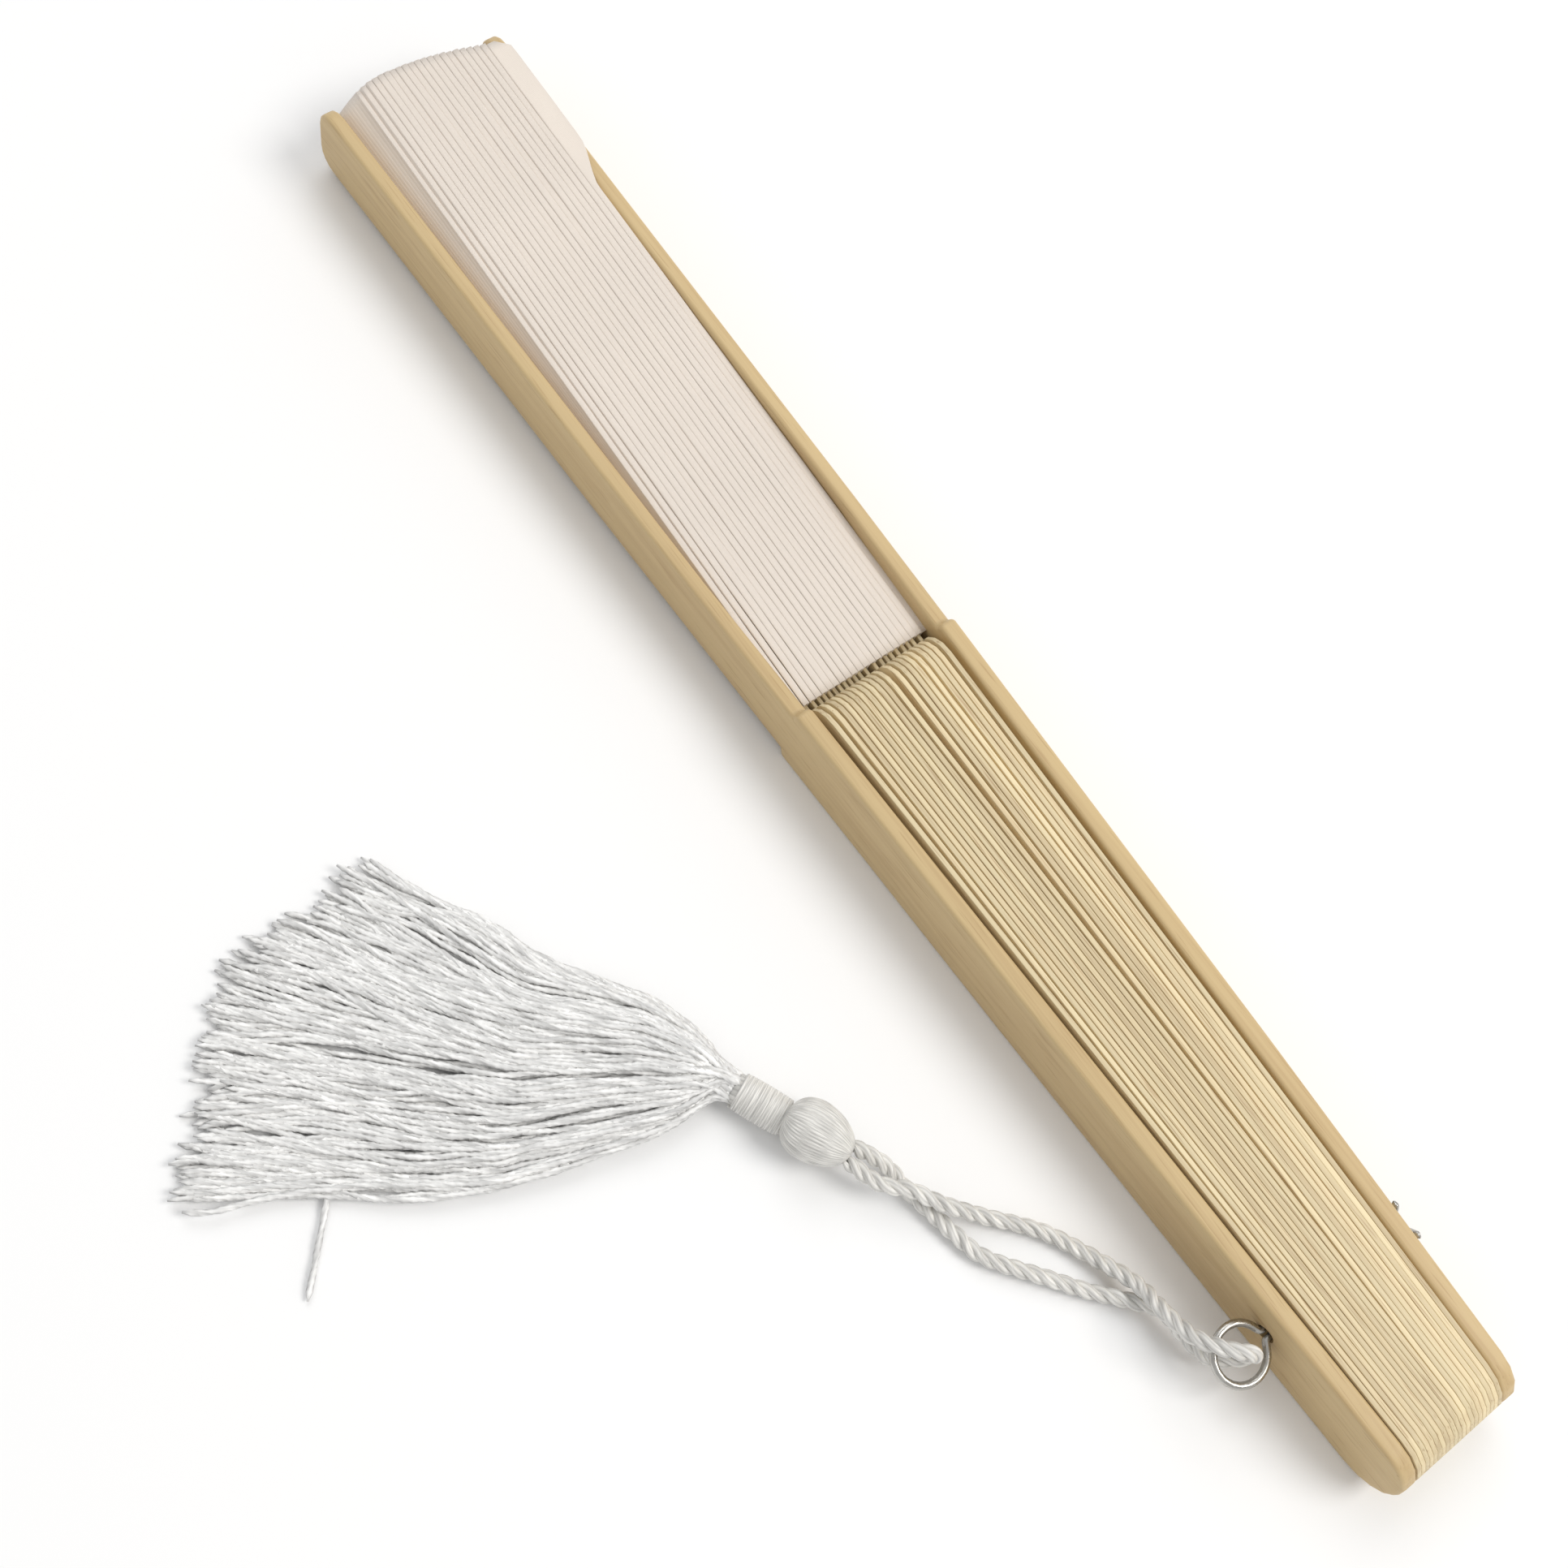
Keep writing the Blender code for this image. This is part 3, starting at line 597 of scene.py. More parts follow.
class Route:
    """A smooth curve through points, with a frame that turns as little as it can."""

    def __init__(self, points, samples):
        points = [Vector(p) for p in points]
        ends = [2 * points[0] - points[1], *points, 2 * points[-1] - points[-2]]
        dense = []
        for i in range(1, len(ends) - 2):
            a, b, c, d = ends[i - 1:i + 3]
            for step in range(24):
                t = step / 24
                dense.append(0.5 * (2 * b + (c - a) * t + (2 * a - 5 * b + 4 * c - d) * t * t
                                    + (3 * b - a - 3 * c + d) * t ** 3))
        dense.append(points[-1])
        reach = [0.0]
        for a, b in zip(dense, dense[1:]):
            reach.append(reach[-1] + (b - a).length)
        self.length = reach[-1]
        self.points, at = [], 0
        for i in range(samples + 1):
            want = self.length * i / samples
            while at < len(dense) - 2 and reach[at + 1] < want:
                at += 1
            share = (want - reach[at]) / max(reach[at + 1] - reach[at], 1e-12)
            self.points.append(dense[at].lerp(dense[at + 1], min(share, 1)))
        self.frames, side = [], None
        for i in range(samples + 1):
            ahead = (self.points[min(i + 1, samples)] - self.points[max(i - 1, 0)]).normalized()
            if side is None:
                side = ahead.orthogonal().normalized()
            side = (side - ahead * side.dot(ahead)).normalized()
            self.frames.append((side.copy(), ahead.cross(side)))

    def at(self, along):
        """(point, side, up) at a share of the way."""
        spot = along * (len(self.points) - 1)
        i = min(int(spot), len(self.points) - 2)
        t = spot - i
        side, up = (a.lerp(b, t).normalized() for a, b in zip(self.frames[i], self.frames[i + 1]))
        return self.points[i].lerp(self.points[i + 1], t), side, up


def ply(route, offset, radius, turn, phase, rings, sides, flat=1.0):
    """One strand laid round a route at a distance from it, turning once every turn metres."""

    def place(along, around):
        point, side, up = route.at(along)
        lay = phase + math.tau * along * route.length / turn
        out = side * math.cos(lay) + up * math.sin(lay)
        across = side * -math.sin(lay) + up * math.cos(lay)
        angle = math.tau * around
        taper = min(1.0, 0.35 + 40 * min(along, 1 - along))
        rim = out * (math.cos(angle) * flat) + across * math.sin(angle)
        return point + out * offset + rim * radius * taper

    return draped(rings, sides, place, (route.length, 1.0), closed=True, start=phase * 0.2)


def merged_copy(source):
    """A CAD node's mesh with its loose triangles joined into whole faces."""
    bm = bmesh.new()
    bm.from_mesh(frame["nodes"][source].data)
    bmesh.ops.remove_doubles(bm, verts=bm.verts, dist=2e-6)
    bmesh.ops.dissolve_limit(bm, angle_limit=math.radians(0.35), verts=bm.verts, edges=bm.edges)
    return bm


def stick_plane(stick):
    """The stick's middle plane under the leaf: (y at the pivot, slope, half thickness)."""
    mesh = frame["nodes"][stick_node(stick)].data
    own = [v.co for v in mesh.vertices if v.co.x < LEAF_ROOT - SHOULDER_REACH]
    near = [co.y for co in own if co.x > max(c.x for c in own) - MM]
    far = [co.y for co in own if co.x < min(c.x for c in own) + MM]
    x_near, x_far = max(c.x for c in own), min(c.x for c in own)
    mid_near, mid_far = (min(near) + max(near)) / 2, (min(far) + max(far)) / 2
    slope = (mid_near - mid_far) / (x_near - x_far)
    return mid_near - slope * (x_near - PIVOT.x), slope, (max(near) - min(near)) / 2


SHOULDER_REACH = 6 * MM
LEAF_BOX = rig.box("leaf_fold_05")
LEAF_ROOT = LEAF_BOX[1][0]
ROOT_RADIUS = PIVOT.x - LEAF_ROOT
TIP_RADIUS = PIVOT.x - LEAF_BOX[0][0]
HALF_ANGLE = math.asin((LEAF_BOX[1][2] - PIVOT.z) / TIP_RADIUS)
CROWN = 0.085 * MM
LEAF_LEAN = 3.4 * MM
FRONT_DROP = (0.55, 0.22, 0.06)
BACK_DROP = (0.7, 0.4, 0.2, 0.08)
BACK_RISE = 0.55 * MM
OVERHANG = 2.3 * MM
OVERHANG_START = 175 * MM
OVERHANG_RAMP = 9 * MM
OVERHANG_ROUND = 2.2 * MM
OVERHANG_PEAK = 0.72
PLEAT_BEND = 0.66
LEAST_BLEND = 0.12 * MM
FOLD_TURN = 1.5 * MM


def smooth(share):
    share = min(max(share, 0.0), 1.0)
    return share * share * (3 - 2 * share)


def unsmooth(value):
    """The share at which smooth gives this value."""
    return 0.5 - math.sin(math.asin(1 - 2 * value) / 3)


def on_leaf(radius, angle, y):
    """The point at a distance from the pivot and an angle above the closed fan's middle."""
    return Vector((PIVOT.x - radius * math.cos(angle), y, PIVOT.z + radius * math.sin(angle)))


# ---------------------------------------------------------------- operators


class FAN_OT_sticks(bpy.types.Operator):
    """Make the two guards and the ribs, with rounded edges and straight grain"""

    bl_idname = "fan.sticks"
    bl_label = "Guards and Ribs"

    def execute(self, context):
        sizes = context.scene.fan_sizes
        draw = random.Random(7)
        for stick in range(STICKS):
            source = stick_node(stick)
            guard = stick in (0, GAPS)
            bm = merged_copy(source)
            sharp = [
                edge for edge in bm.edges
                if len(edge.link_faces) == 2 and edge.calc_face_angle() > math.radians(40)
                and math.hypot(edge.verts[0].co.x - PIVOT.x, edge.verts[0].co.z - PIVOT.z) > BORE_EDGE
            ]
            # The bevelled faces carry the edge mark: wear and a painted highlight on the rounded edges.
            edge_wear_and_highlight = bm.faces.layers.float.new("edge_wear_and_highlight")
            made = bmesh.ops.bevel(
                bm, geom=sharp, offset=sizes.guard_round if guard else sizes.rib_round,
                segments=4 if guard else 2, profile=0.5, affect="EDGES", material=-1, clamp_overlap=True)
            for face in made["faces"]:
                face[edge_wear_and_highlight] = 1.0
            tone = bm.verts.layers.float.new("tone")
            value = draw.uniform(-0.4, 0.4) if guard else draw.uniform(-1.0, 1.0)
            for vert in bm.verts:
                vert[tone] = value
            for edge in bm.edges:
                edge.smooth = not edge.is_manifold or edge.calc_face_angle(0) < math.radians(38)
            piece = finished(f"{source}_wood", bm, "Guard wood" if guard else "Rib wood")
            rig.ride(piece, BODY_OF[source])
            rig.replaces(piece, source)
            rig.slot(piece, "guard_wood" if guard else "rib_wood")
        return {"FINISHED"}


class FAN_OT_leaf(bpy.types.Operator):
    """Make the pleated cloth leaf, one pleat for each gap between two sticks"""

    bl_idname = "fan.leaf"
    bl_label = "Leaf"

    def execute(self, context):
        sizes = context.scene.fan_sizes
        draw = random.Random(23)
        groove = sizes.pleat_groove / 2 + sizes.cloth / 2
        beside = 0.06 * MM + sizes.cloth / 2
        planes = [stick_plane(stick) for stick in range(STICKS)]

        def y_of(stick, radius, off=0.0):
            middle, slope, half = planes[stick]
            return middle - slope * radius + off * (half + beside)

        def edge(boundary, radius):
            """The y between two pleats' tops, evenly spaced across and leaning back at the tip."""
            share = boundary / GAPS
            lean = (radius - ROOT_RADIUS) / (TIP_RADIUS - ROOT_RADIUS)
            return (y_of(0, radius, 1) + LEAF_LEAN * lean) * (1 - share) + y_of(GAPS, radius, -1) * share

        for gap in range(GAPS):
            seed = draw.uniform(0, 50)
            rise = draw.uniform(-0.05, 0.05) * MM
            side = (gap + 0.5) / GAPS
            tip = TIP_RADIUS - (0.2 + 3.3 * side ** 2.6 + 0.9 * (1 - side) ** 8) * MM
            span = tip - ROOT_RADIUS
            begin = unsmooth(gap / (gap + 1))

            def crease(radius):
                """How far the pleat's top stands above the closed fan's middle."""
                lean = (radius - ROOT_RADIUS) / span
                wave = noise.noise(Vector((radius * 55, seed, 0))) * 0.13
                wave += noise.noise(Vector((radius * 260, seed, 3))) * 0.04
                low = dict(enumerate(FRONT_DROP)).get(gap, 0) * MM * (0.35 + 0.65 * lean)
                low += dict(enumerate(BACK_DROP)).get(GAPS - 1 - gap, 0) * MM * (1 - lean)
                low -= BACK_RISE * side ** 8 * lean
                return radius * math.sin(HALF_ANGLE) - low + rise + wave * MM

            def top(radius):
                """The back panel's top edge, without its waves."""
                angle = math.asin((radius * math.sin(HALF_ANGLE) - CROWN) / radius)
                return on_leaf(radius, angle, edge(gap + 1, radius) - groove)

            def foot(radius):
                return on_leaf(radius, -HALF_ANGLE, y_of(gap + 1, radius, -1))

            ends = (ROOT_RADIUS, tip)
            tops, feet = [top(r) for r in ends], [foot(r) for r in ends]
            across = (tops[1] - tops[0]).cross(feet[1] - feet[0]).normalized()
            if across.y > 0:
                across = -across
            at_top, at_foot = across.dot(tops[0]), across.dot(feet[0])
            if abs(at_foot - at_top) < LEAST_BLEND:
                at_foot = at_top + LEAST_BLEND
            zero = (at_top - at_foot * begin) / (1 - begin)

            def far(radius, share):
                """The back panel, share from its top edge down to the next stick."""
                turned = zero + (at_foot - zero) * unsmooth((gap + share) / (gap + 1))
                angle = math.asin((crease(radius) - CROWN) / radius)
                spot = on_leaf(radius, angle + (-HALF_ANGLE - angle) * share, 0)
                spot.y = (turned - across.x * spot.x - across.z * spot.z) / across.y
                return spot

            def front_panel(along, around):
                """The front panel from the bottom up, then the rounded top as far as the back panel."""
                radius = ROOT_RADIUS + span * along
                last = far(radius, 0)
                y_low, y_high = y_of(gap, radius, 1), edge(gap, radius) + groove
                if gap and around < 1e-4:
                    y_low = y_of(gap, radius, -1)
                if around <= 0.5:
                    share = around / 0.5
                    bend = max(0.0, (share - PLEAT_BEND) / (1 - PLEAT_BEND)) ** 1.3
                    low = -radius * math.sin(HALF_ANGLE)
                    height = low + (last.z - PIVOT.z - low) * share
                    return on_leaf(radius, math.asin(height / radius), y_low + (y_high - y_low) * bend)
                turn = math.pi * (around - 0.5) / 0.5
                crown = CROWN * max(0.0, math.sin(turn)) ** 0.6
                y = (y_high + last.y) / 2 - (last.y - y_high) / 2 * math.cos(turn)
                spot = Vector((last.x, y, last.z + crown))
                if gap == GAPS - 1:
                    corner = 1 - min(1.0, max(0.0, (radius - tip) / OVERHANG_ROUND + 1)) ** 2
                    reach = smooth((radius - OVERHANG_START) / OVERHANG_RAMP) * math.sqrt(corner + 0.04)
                    turned = turn / math.pi
                    out = smooth(turned / OVERHANG_PEAK)
                    if turned >= OVERHANG_PEAK:
                        out = 1 - smooth((turned - OVERHANG_PEAK) / (1 - OVERHANG_PEAK))
                    spot.y += OVERHANG * reach * out
                return spot

            def back_panel(along, around):
                return far(ROOT_RADIUS + span * along, around)

            tall = HALF_ANGLE * (ROOT_RADIUS + tip)
            wide = 2 * HALF_ANGLE * TIP_RADIUS + FOLD_TURN
            panels = (
                (f"leaf_{gap:02d}_front", front_panel, 48 if gap == GAPS - 1 else 26),
                (f"leaf_{gap:02d}_back", back_panel, 10),
            )
            for name, shape, rows in panels:
                bm = draped(64, rows, shape, (span, tall))
                area = sum(face.calc_area() for face in bm.faces)
                piece = finished(name, bm, "Leaf cloth")
                thick = piece.modifiers.new("Cloth", "SOLIDIFY")
                thick.thickness = sizes.cloth
                thick.offset = 0
                if name.endswith("front"):
                    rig.ride(piece, BODY_OF[stick_node(gap)])
                else:
                    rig.blend(piece, "front_guard", BODY_OF[stick_node(gap + 1)],
                             start=across * zero, end=across * at_foot)
                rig.replaces(piece, f"leaf_fold_{gap:02d}")
                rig.slot(piece, "cloth")
                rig.sheet(piece, flat=(wide, span), held="folded", area=min(area, wide * span),
                         rests_on=[f"{stick_node(gap)}_wood", f"{stick_node(gap + 1)}_wood"])
        return {"FINISHED"}


def cord_routes():
    """The cord's two runs from the middle of the pin's eye to the knot, in metres."""
    leaving = (
        ((1, 1.03, 0.0), (0.95, 0.98, 1.2), (0.3, 0.13, 2.8), (-1.5, -1.87, 3.4), (-5, -4, 1.9)),
        ((1, 1.03, 0.0), (0.95, 0.98, -1.2), (0.2, -0.17, -2.7), (-1.6, -2.27, -3.3), (-5, -3.1, -3.3)),
    )
    lying = (
        ((-9.3, -8.5, 6), (-13.9, -8.3, 3.3), (-21, -10.9, 1.4), (-26, -13.7, 1.3),
         (-31.3, -18.4, 1.6), (-35.6, -22.3, 3.3), (-39.2, -24.7, 3.9), (-42.3, -27.5, 3.8)),
        ((-9.3, -7.6, 3.1), (-12.4, -9.6, 1.6), (-16.5, -13.2, 1.3), (-20.8, -16.5, 1.3), (-27.2, -21.3, 1.3),
         (-31.6, -22.7, 1.3), (-36, -23.6, 1.3), (-40.2, -24.4, 1.3), (-43.6, -24.9, 1.9)),
    )
    knot = KNOT_MIDDLE / MM - PIVOT / MM
    routes = []
    for way, rest, sign in zip(leaving, lying, (1, -1)):
        points = [Vector((x, EYE_Y + y, z)) for x, y, z in way]
        points += [Vector((x, FRONT_Y + y, z - PIVOT.z / MM)) for x, y, z in rest]
        across = Vector((-ALONG.y, ALONG.x, 0))
        points.append(knot - ALONG * KNOT_SEAT + across * (sign * 1.0))
        routes.append([PIVOT + point * MM for point in points])
    return routes


class FAN_OT_cord(bpy.types.Operator):
    """Make the two runs of the twisted cord that hangs in the pin's eye"""

    bl_idname = "fan.cord"
    bl_label = "Cord"

    def execute(self, context):
        sizes = context.scene.fan_sizes
        for name, points in zip(("cord_run_a", "cord_run_b"), cord_routes()):
            route = Route(points, 220)
            strand = sizes.cord * 0.27
            parts = [ply(route, sizes.cord / 2 - strand, strand, sizes.cord_twist, phase, 200, 12)
                     for phase in (0.0, math.pi * 2 / 3, math.pi * 4 / 3)]
            piece = finished(f"{name}_twisted", gathered(parts), "Cord strands")
            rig.ride(piece, "front_guard")
            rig.replaces(piece, name)
            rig.slot(piece, "thread")
            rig.cord(piece, exit=route.points[0], length=route.length, diameter=sizes.cord, far_end="knot",
                    stiffness="limp", lay="loose", path=route.points)
        return {"FINISHED"}


class FAN_OT_tassel(bpy.types.Operator):
    """Make the tassel's satin knot, its wound neck and its skirt of loose threads"""

    bl_idname = "fan.tassel"
    bl_label = "Tassel"

    def execute(self, context):
        sizes = context.scene.fan_sizes
        side = Vector((-ALONG.y, ALONG.x, 0))
        up = Vector((0, 0, 1))

        def round_the(middle, reach, radius, angle):
            return middle + ALONG * reach + (side * math.cos(angle) + up * math.sin(angle)) * radius

        strands = 54

        def knot(along, around):
            angle = math.tau * around
            lean = along * 0.55
            polar = math.pi * along
            body = math.sin(polar) ** 0.8 * (1 - 0.17 * math.cos(polar))
            ridge = abs(math.sin(strands / 2 * (angle + lean))) ** 0.6
            ridge += noise.noise(Vector((math.cos(angle) * 5, math.sin(angle) * 5, along * 3))) * 0.8
            radius = KNOT_SIZE[1] / 2 * body * (0.94 + 0.03 * ridge)
            return round_the(KNOT_MIDDLE, -KNOT_SIZE[0] / 2 * math.cos(polar), radius, angle)

        bm = draped(48, strands * 6, knot, (0.02, strands), closed=True)
        piece = finished("tassel_knot_satin", bm, "Knot satin")
        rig.ride(piece, "front_guard")
        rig.replaces(piece, "tassel_knot")
        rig.slot(piece, "thread")

        neck = (Vector(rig.box("tassel_neck")[0]) + Vector(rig.box("tassel_neck")[1])) / 2
        turns = 19

        def coil(along, around):
            lay = math.tau * along * turns
            reach = (along - 0.5) * NECK_LENGTH
            angle = math.tau * around
            out = side * math.cos(lay) + up * math.sin(lay)
            bulge = NECK_RADIUS - 0.28 * MM + 0.12 * MM * math.sin(math.pi * along)
            thread = out * (bulge + 0.26 * MM * math.cos(angle)) + ALONG * (0.24 * MM * math.sin(angle))
            return neck + ALONG * reach + thread

        def core(along, around):
            reach = (along - 0.5) * NECK_LENGTH * 1.2
            return round_the(neck, reach, NECK_RADIUS - 0.4 * MM, math.tau * around)

        winding = draped(turns * 40, 8, coil, (0.24, 1.0), closed=True)
        inside = draped(4, 24, core, (0.006, 6.0), closed=True)
        piece = finished("tassel_neck_wound", gathered([winding, inside]), "Wound thread")
        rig.ride(piece, "front_guard")
        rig.replaces(piece, "tassel_neck")
        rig.slot(piece, "thread")
        self.skirt(sizes, neck, side)
        return {"FINISHED"}

    def skirt(self, sizes, neck, side):
        """The skirt: threads gathered in the neck that spread out in bunches on the table."""
        draw = random.Random(41)
        heading = math.radians(SKIRT_HEADING)
        ahead = Vector((math.cos(heading), math.sin(heading), 0))
        beside = Vector((-math.sin(heading), math.cos(heading), 0))
        root = neck + ALONG * (NECK_LENGTH / 2)
        parts = []
        for index in range(sizes.threads):
            share = (index + 0.5) / sizes.threads
            share = min(max(share + draw.uniform(-0.03, 0.03), 0.005), 0.995)
            layer = draw.random()
            stray = index == sizes.threads - 1
            ragged = 2.6 * noise.noise(Vector((share * 7, 3.3, 0))) + draw.uniform(-2.5, 1.5)
            length = (51 + 13 * smooth(share / 0.5) + ragged) * MM
            if stray:
                length = STRAY_LENGTH
            spin, seed = draw.uniform(0, math.tau), draw.uniform(0, 90)
            drift = draw.uniform(-2.4, 2.4)
            bunch = int(share * BUNCHES + draw.uniform(-0.3, 0.3))
            bunch_drift = noise.noise(Vector((bunch * 3.71, 8.2, 0))) * 5
            points = []
            for step in range(24):
                t = step / 23
                low, high = outline(t * length / MM)
                spread = low + (high - low) * share
                wander = noise.noise(Vector((t * 2.2, bunch * 3.7, 0))) * 3.4 * t + bunch_drift * t * t
                wander += noise.noise(Vector((t * 2.6, seed, 0))) * 3.8 * t + drift * t * t
                reach = t * length
                if stray:
                    reach = min(t / STRAY_TURN, 1) * length
                    wander += STRAY_REACH * max(0.0, (t - STRAY_TURN) / (1 - STRAY_TURN))
                crimp = noise.noise(Vector((t * 11, seed, 7))) * 0.4 * min(1, t * 5)
                pile = (1.5 + 3.6 * layer * (1 - abs(2 * share - 1) ** 2)) * max(0.0, 1 - t * 1.15) ** 1.4
                lift = 0.5 + pile + layer * 1.3 * (1 - 0.35 * t)
                lift += noise.noise(Vector((t * 3, seed, 21))) * 0.5 * t
                floor = Vector((root.x, root.y, 0)) + ahead * reach
                floor += beside * ((spread + wander + crimp) * MM)
                floor.z = max(lift, 0.42) * MM
                hold = max(0.0, 1 - t * 9)
                ring = side * math.cos(spin) + Vector((0, 0, math.sin(spin)))
                gather = root + ring * (1.9 * MM * math.sqrt(layer)) + ALONG * (t * length)
                points.append(floor.lerp(gather, hold * hold * (3 - 2 * hold)))
            route = Route(points, 80)
            parts.append(ply(route, 0.0, sizes.thread * 0.5, 8.5 * MM, spin, 60, 6, flat=0.8))
        piece = finished("tassel_skirt_threads", gathered(parts), "Satin threads")
        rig.ride(piece, "front_guard")
        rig.replaces(piece, "tassel_skirt")
        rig.slot(piece, "thread")


class FAN_OT_pivot(bpy.types.Operator):
    """Make the split pin and its washer"""

    bl_idname = "fan.pivot"
    bl_label = "Pin and Washer"

    def execute(self, context):
        for source, piece_name in (("split_pin", "split_pin_wire"), ("washer", "washer_steel")):
            bm = bmesh.new()
            bm.from_mesh(frame["nodes"][source].data)
            bmesh.ops.remove_doubles(bm, verts=bm.verts, dist=2e-6)
            if source == "washer":
                bmesh.ops.dissolve_limit(bm, angle_limit=math.radians(0.5), verts=bm.verts, edges=bm.edges)
                rim = [edge for edge in bm.edges if edge.calc_face_angle(0) > math.radians(60)]
                bmesh.ops.bevel(bm, geom=rim, offset=WASHER_ROUND, segments=2, profile=0.5,
                                affect="EDGES", material=-1)
            piece = finished(piece_name, bm, "Drawn steel wire")
            if source == "split_pin":
                rounded = piece.modifiers.new("Smooth wire", "SUBSURF")
                rounded.levels = rounded.render_levels = 1
            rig.ride(piece, "front_guard")
            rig.replaces(piece, source)
            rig.slot(piece, "steel")
        return {"FINISHED"}


class FAN_OT_stage(bpy.types.Operator):
    """Make the camera, the lamps and the floor"""

    bl_idname = "fan.stage"
    bl_label = "Stage"

    def execute(self, context):
        scene = context.scene
        camera = bpy.data.cameras.new("Camera")
        camera.sensor_width = 36
        camera.lens = CAMERA_FOCAL * camera.sensor_width
        camera.clip_start = 0.01
        holder = bpy.data.objects.new("Camera", camera)
        right, down, ahead = (Vector(row) for row in CAMERA_ROWS)
        turn = Matrix((right, -down, -ahead)).transposed().to_4x4()
        holder.matrix_world = Matrix.Translation(CAMERA_PLACE) @ turn
        scene.collection.objects.link(holder)
        scene.camera = holder

        bm = bmesh.new()
        bmesh.ops.create_grid(bm, x_segments=8, y_segments=8, size=3.0)
        mesh = bpy.data.meshes.new("floor")
        bm.to_mesh(mesh)
        bm.free()
        floor = bpy.data.objects.new("floor", mesh)
        floor.location.z = -0.02 * MM
        scene.collection.objects.link(floor)
        white = bpy.data.materials.new("Floor white")
        white.use_nodes = True
        tree = white.node_tree
        tree.nodes["Principled BSDF"].inputs["Base Color"].default_value = FLOOR_COLOUR
        tree.nodes["Principled BSDF"].inputs["Roughness"].default_value = 0.9
        mesh.materials.append(white)
        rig.stage(floor)

        world = bpy.data.worlds.new("Studio")
        scene.world = world
        world.use_nodes = True
        world.node_tree.nodes["Background"].inputs["Color"].default_value = (1, 1, 1, 1)
        world.node_tree.nodes["Background"].inputs["Strength"].default_value = WORLD_STRENGTH
        for name, place, size, energy, tint in LAMPS:
            lamp = bpy.data.lights.new(name, "AREA")
            lamp.shape = "DISK"
            lamp.size, lamp.energy, lamp.color = size, energy, tint
            stand = bpy.data.objects.new(name, lamp)
            stand.location = place
            stand.rotation_euler = (Vector((0, 0, 0)) - Vector(place)).to_track_quat("-Z", "Y").to_euler()
            scene.collection.objects.link(stand)
        scene.view_settings.view_transform = "Standard"
        return {"FINISHED"}


class FAN_PT_panel(bpy.types.Panel):
    """The fan's settings and pieces"""

    bl_idname = "FAN_PT_panel"
    bl_label = "Folding Fan"
    bl_space_type = "VIEW_3D"
    bl_region_type = "UI"
    bl_category = "Fan"

    def draw(self, context):
        for settings in (context.scene.fan_sizes, context.scene.fan_colours):
            for name in type(settings).__annotations__:
                self.layout.prop(settings, name)
        for operator in OPERATORS:
            self.layout.operator(operator.bl_idname)


# ---------------------------------------------------------------- layout values

BODY_OF = {node: body for body, nodes in BEHAVIOUR["bodies"].items() for node in nodes}
KNOT_BOX = [Vector(corner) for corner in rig.box("tassel_knot")]
KNOT_MIDDLE = (KNOT_BOX[0] + KNOT_BOX[1]) / 2
KNOT_SIZE = (9.4 * MM, 8.0 * MM)
NECK_LENGTH = 6.6 * MM
NECK_RADIUS = 2.5 * MM
BORE_EDGE = 2.2 * MM
WASHER_ROUND = 0.08 * MM
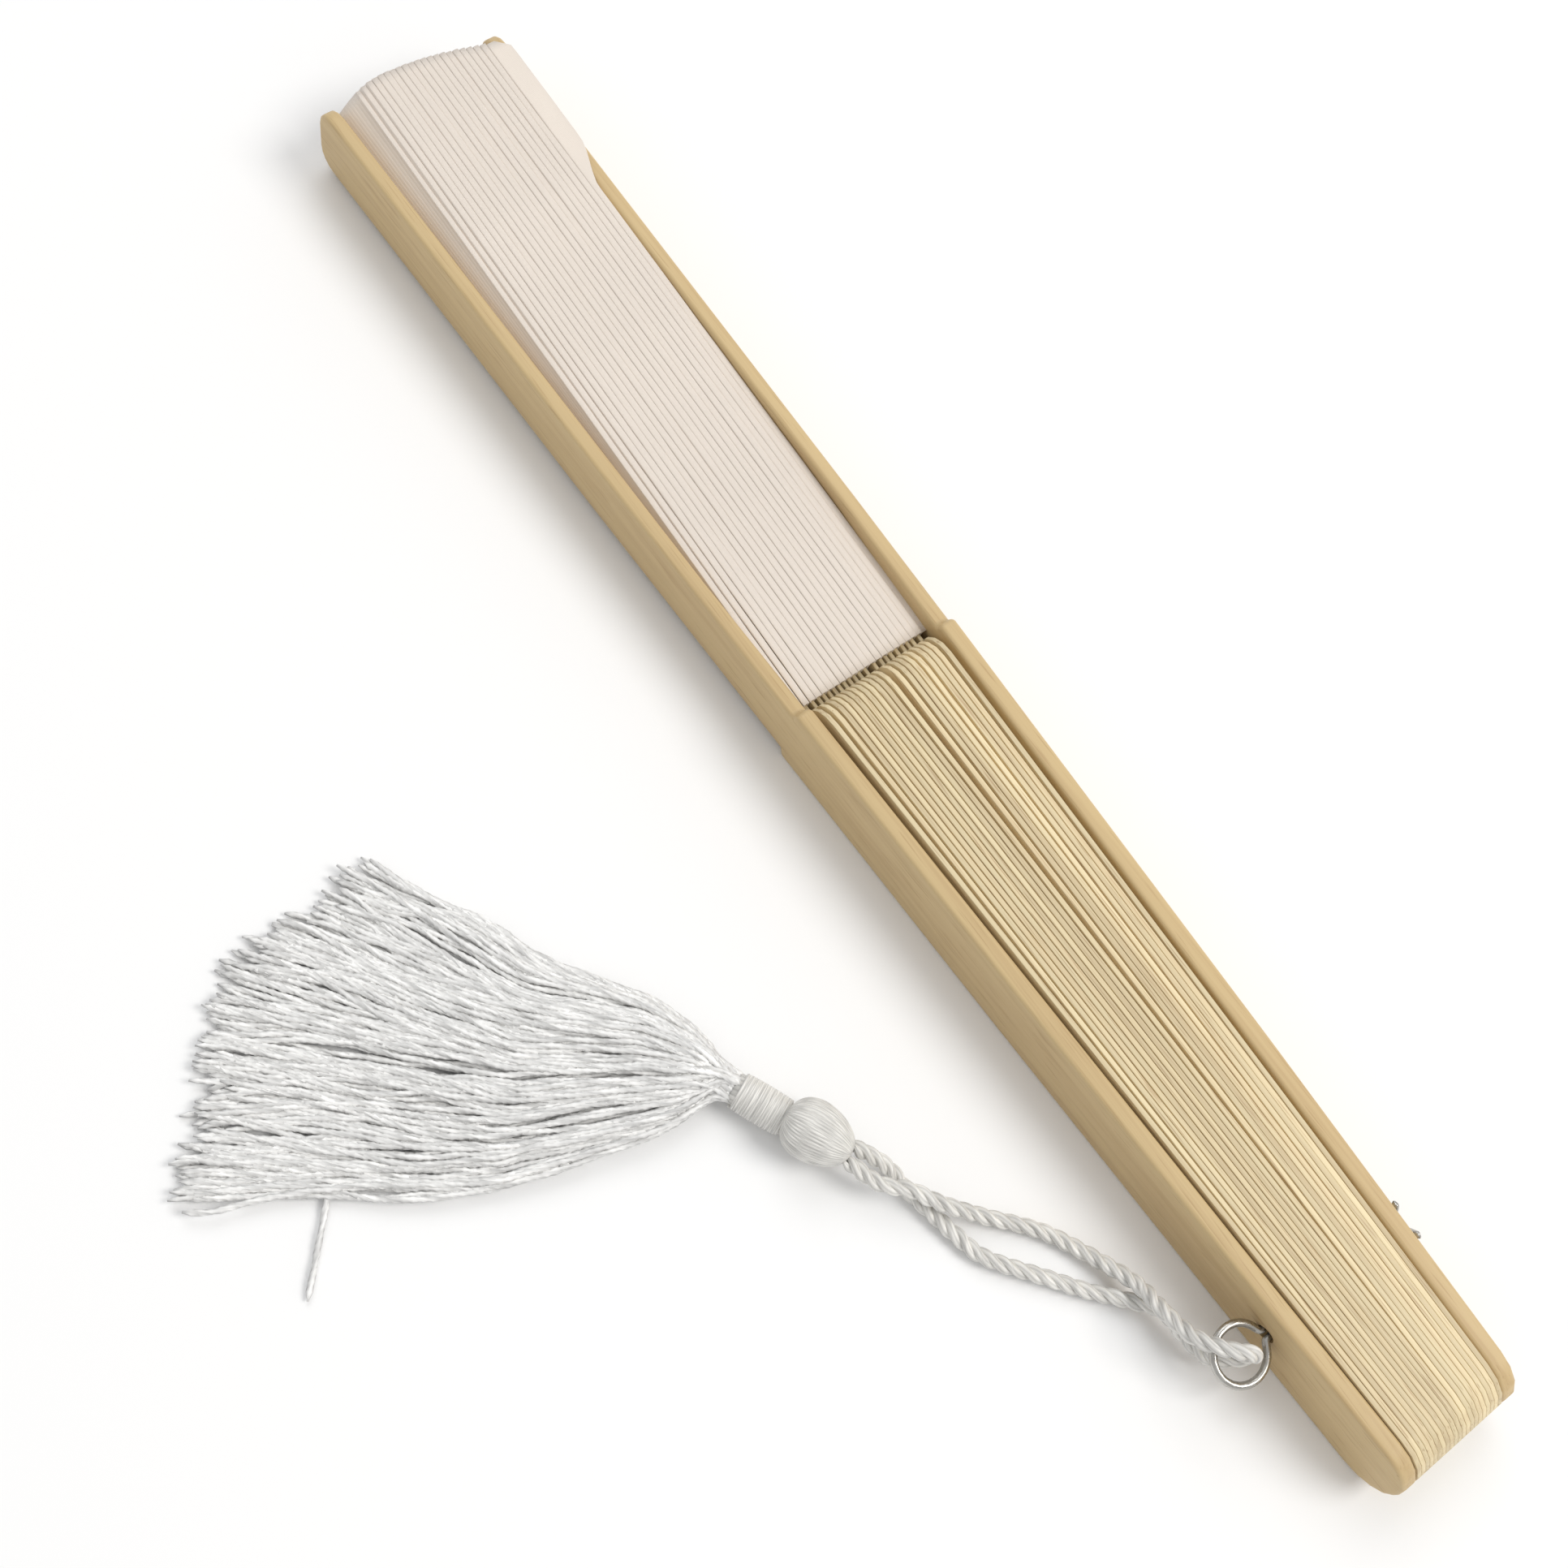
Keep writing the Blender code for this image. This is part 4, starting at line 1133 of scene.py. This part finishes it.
# In millimetres: the cord's two heights over the pivot's y, and its end's distance from the knot's middle.
FRONT_Y = -10.865
EYE_Y = -15.031
KNOT_SEAT = 4.2
ALONG = Vector((math.cos(math.radians(204)), math.sin(math.radians(204)), 0))
SKIRT_HEADING = 227.0
STRAY_REACH = 14.0
STRAY_LENGTH = 47 * MM
STRAY_TURN = 0.72
BUNCHES = 16
SKIRT_OUTLINE = ((0, -2.0, 2.0), (5.5, -6.6, 4.4), (12.5, -10.8, 8.6), (20, -12.2, 12.0), (28, -13.2, 15.6),
                 (40, -17.6, 18.0), (53, -22.3, 19.8), (70, -26.0, 22.5))
# The focal length in widths of the picture, the camera's place, and its right, down and ahead directions.
CAMERA_FOCAL = 1.31632505
CAMERA_PLACE = PIVOT + Vector((-0.03679, -0.10921, 0.24586))
CAMERA_ROWS = ((0.58977, 0.79039, 0.1657), (0.78247, -0.50853, -0.35936), (-0.19977, 0.3416, -0.91837))
FLOOR_COLOUR = (0.93, 0.93, 0.93, 1)
WORLD_STRENGTH = 0.62
LAMPS = (
    ("Key", (0.9, 0.8, 1.5), 1.0, 17.0, (1.0, 0.98, 0.95)),
    ("Fill", (-0.9, 0.5, 1.3), 1.2, 6.0, (0.96, 0.98, 1.0)),
)
OPERATORS = (FAN_OT_stage, FAN_OT_cord, FAN_OT_tassel, FAN_OT_sticks, FAN_OT_leaf, FAN_OT_pivot)
CLASSES = (FanSizes, FanColours, *OPERATORS, FAN_PT_panel)


def outline(share):
    """How far the skirt reaches to either side, in millimetres, at a share of its length."""
    for (a, low_a, high_a), (b, low_b, high_b) in zip(SKIRT_OUTLINE, SKIRT_OUTLINE[1:]):
        if share <= b:
            t = (share - a) / (b - a)
            return low_a + (low_b - low_a) * t, high_a + (high_b - high_a) * t
    return SKIRT_OUTLINE[-1][1:]


def register():
    for kind in CLASSES:
        bpy.utils.register_class(kind)
    bpy.types.Scene.fan_sizes = PointerProperty(type=FanSizes)
    bpy.types.Scene.fan_colours = PointerProperty(type=FanColours)


def unregister():
    del bpy.types.Scene.fan_colours
    del bpy.types.Scene.fan_sizes
    for kind in reversed(CLASSES):
        bpy.utils.unregister_class(kind)


def main():
    register()
    for operator in OPERATORS:
        family, name = operator.bl_idname.split(".")
        getattr(getattr(bpy.ops, family), name)()
    sizes = {"cad": [list(corner) for corner in CAD_BOX], "visual": [list(corner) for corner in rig.bounds()]}
    with open("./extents.json", "w") as out:
        json.dump(sizes, out)


if __name__ == "__main__":
    main()
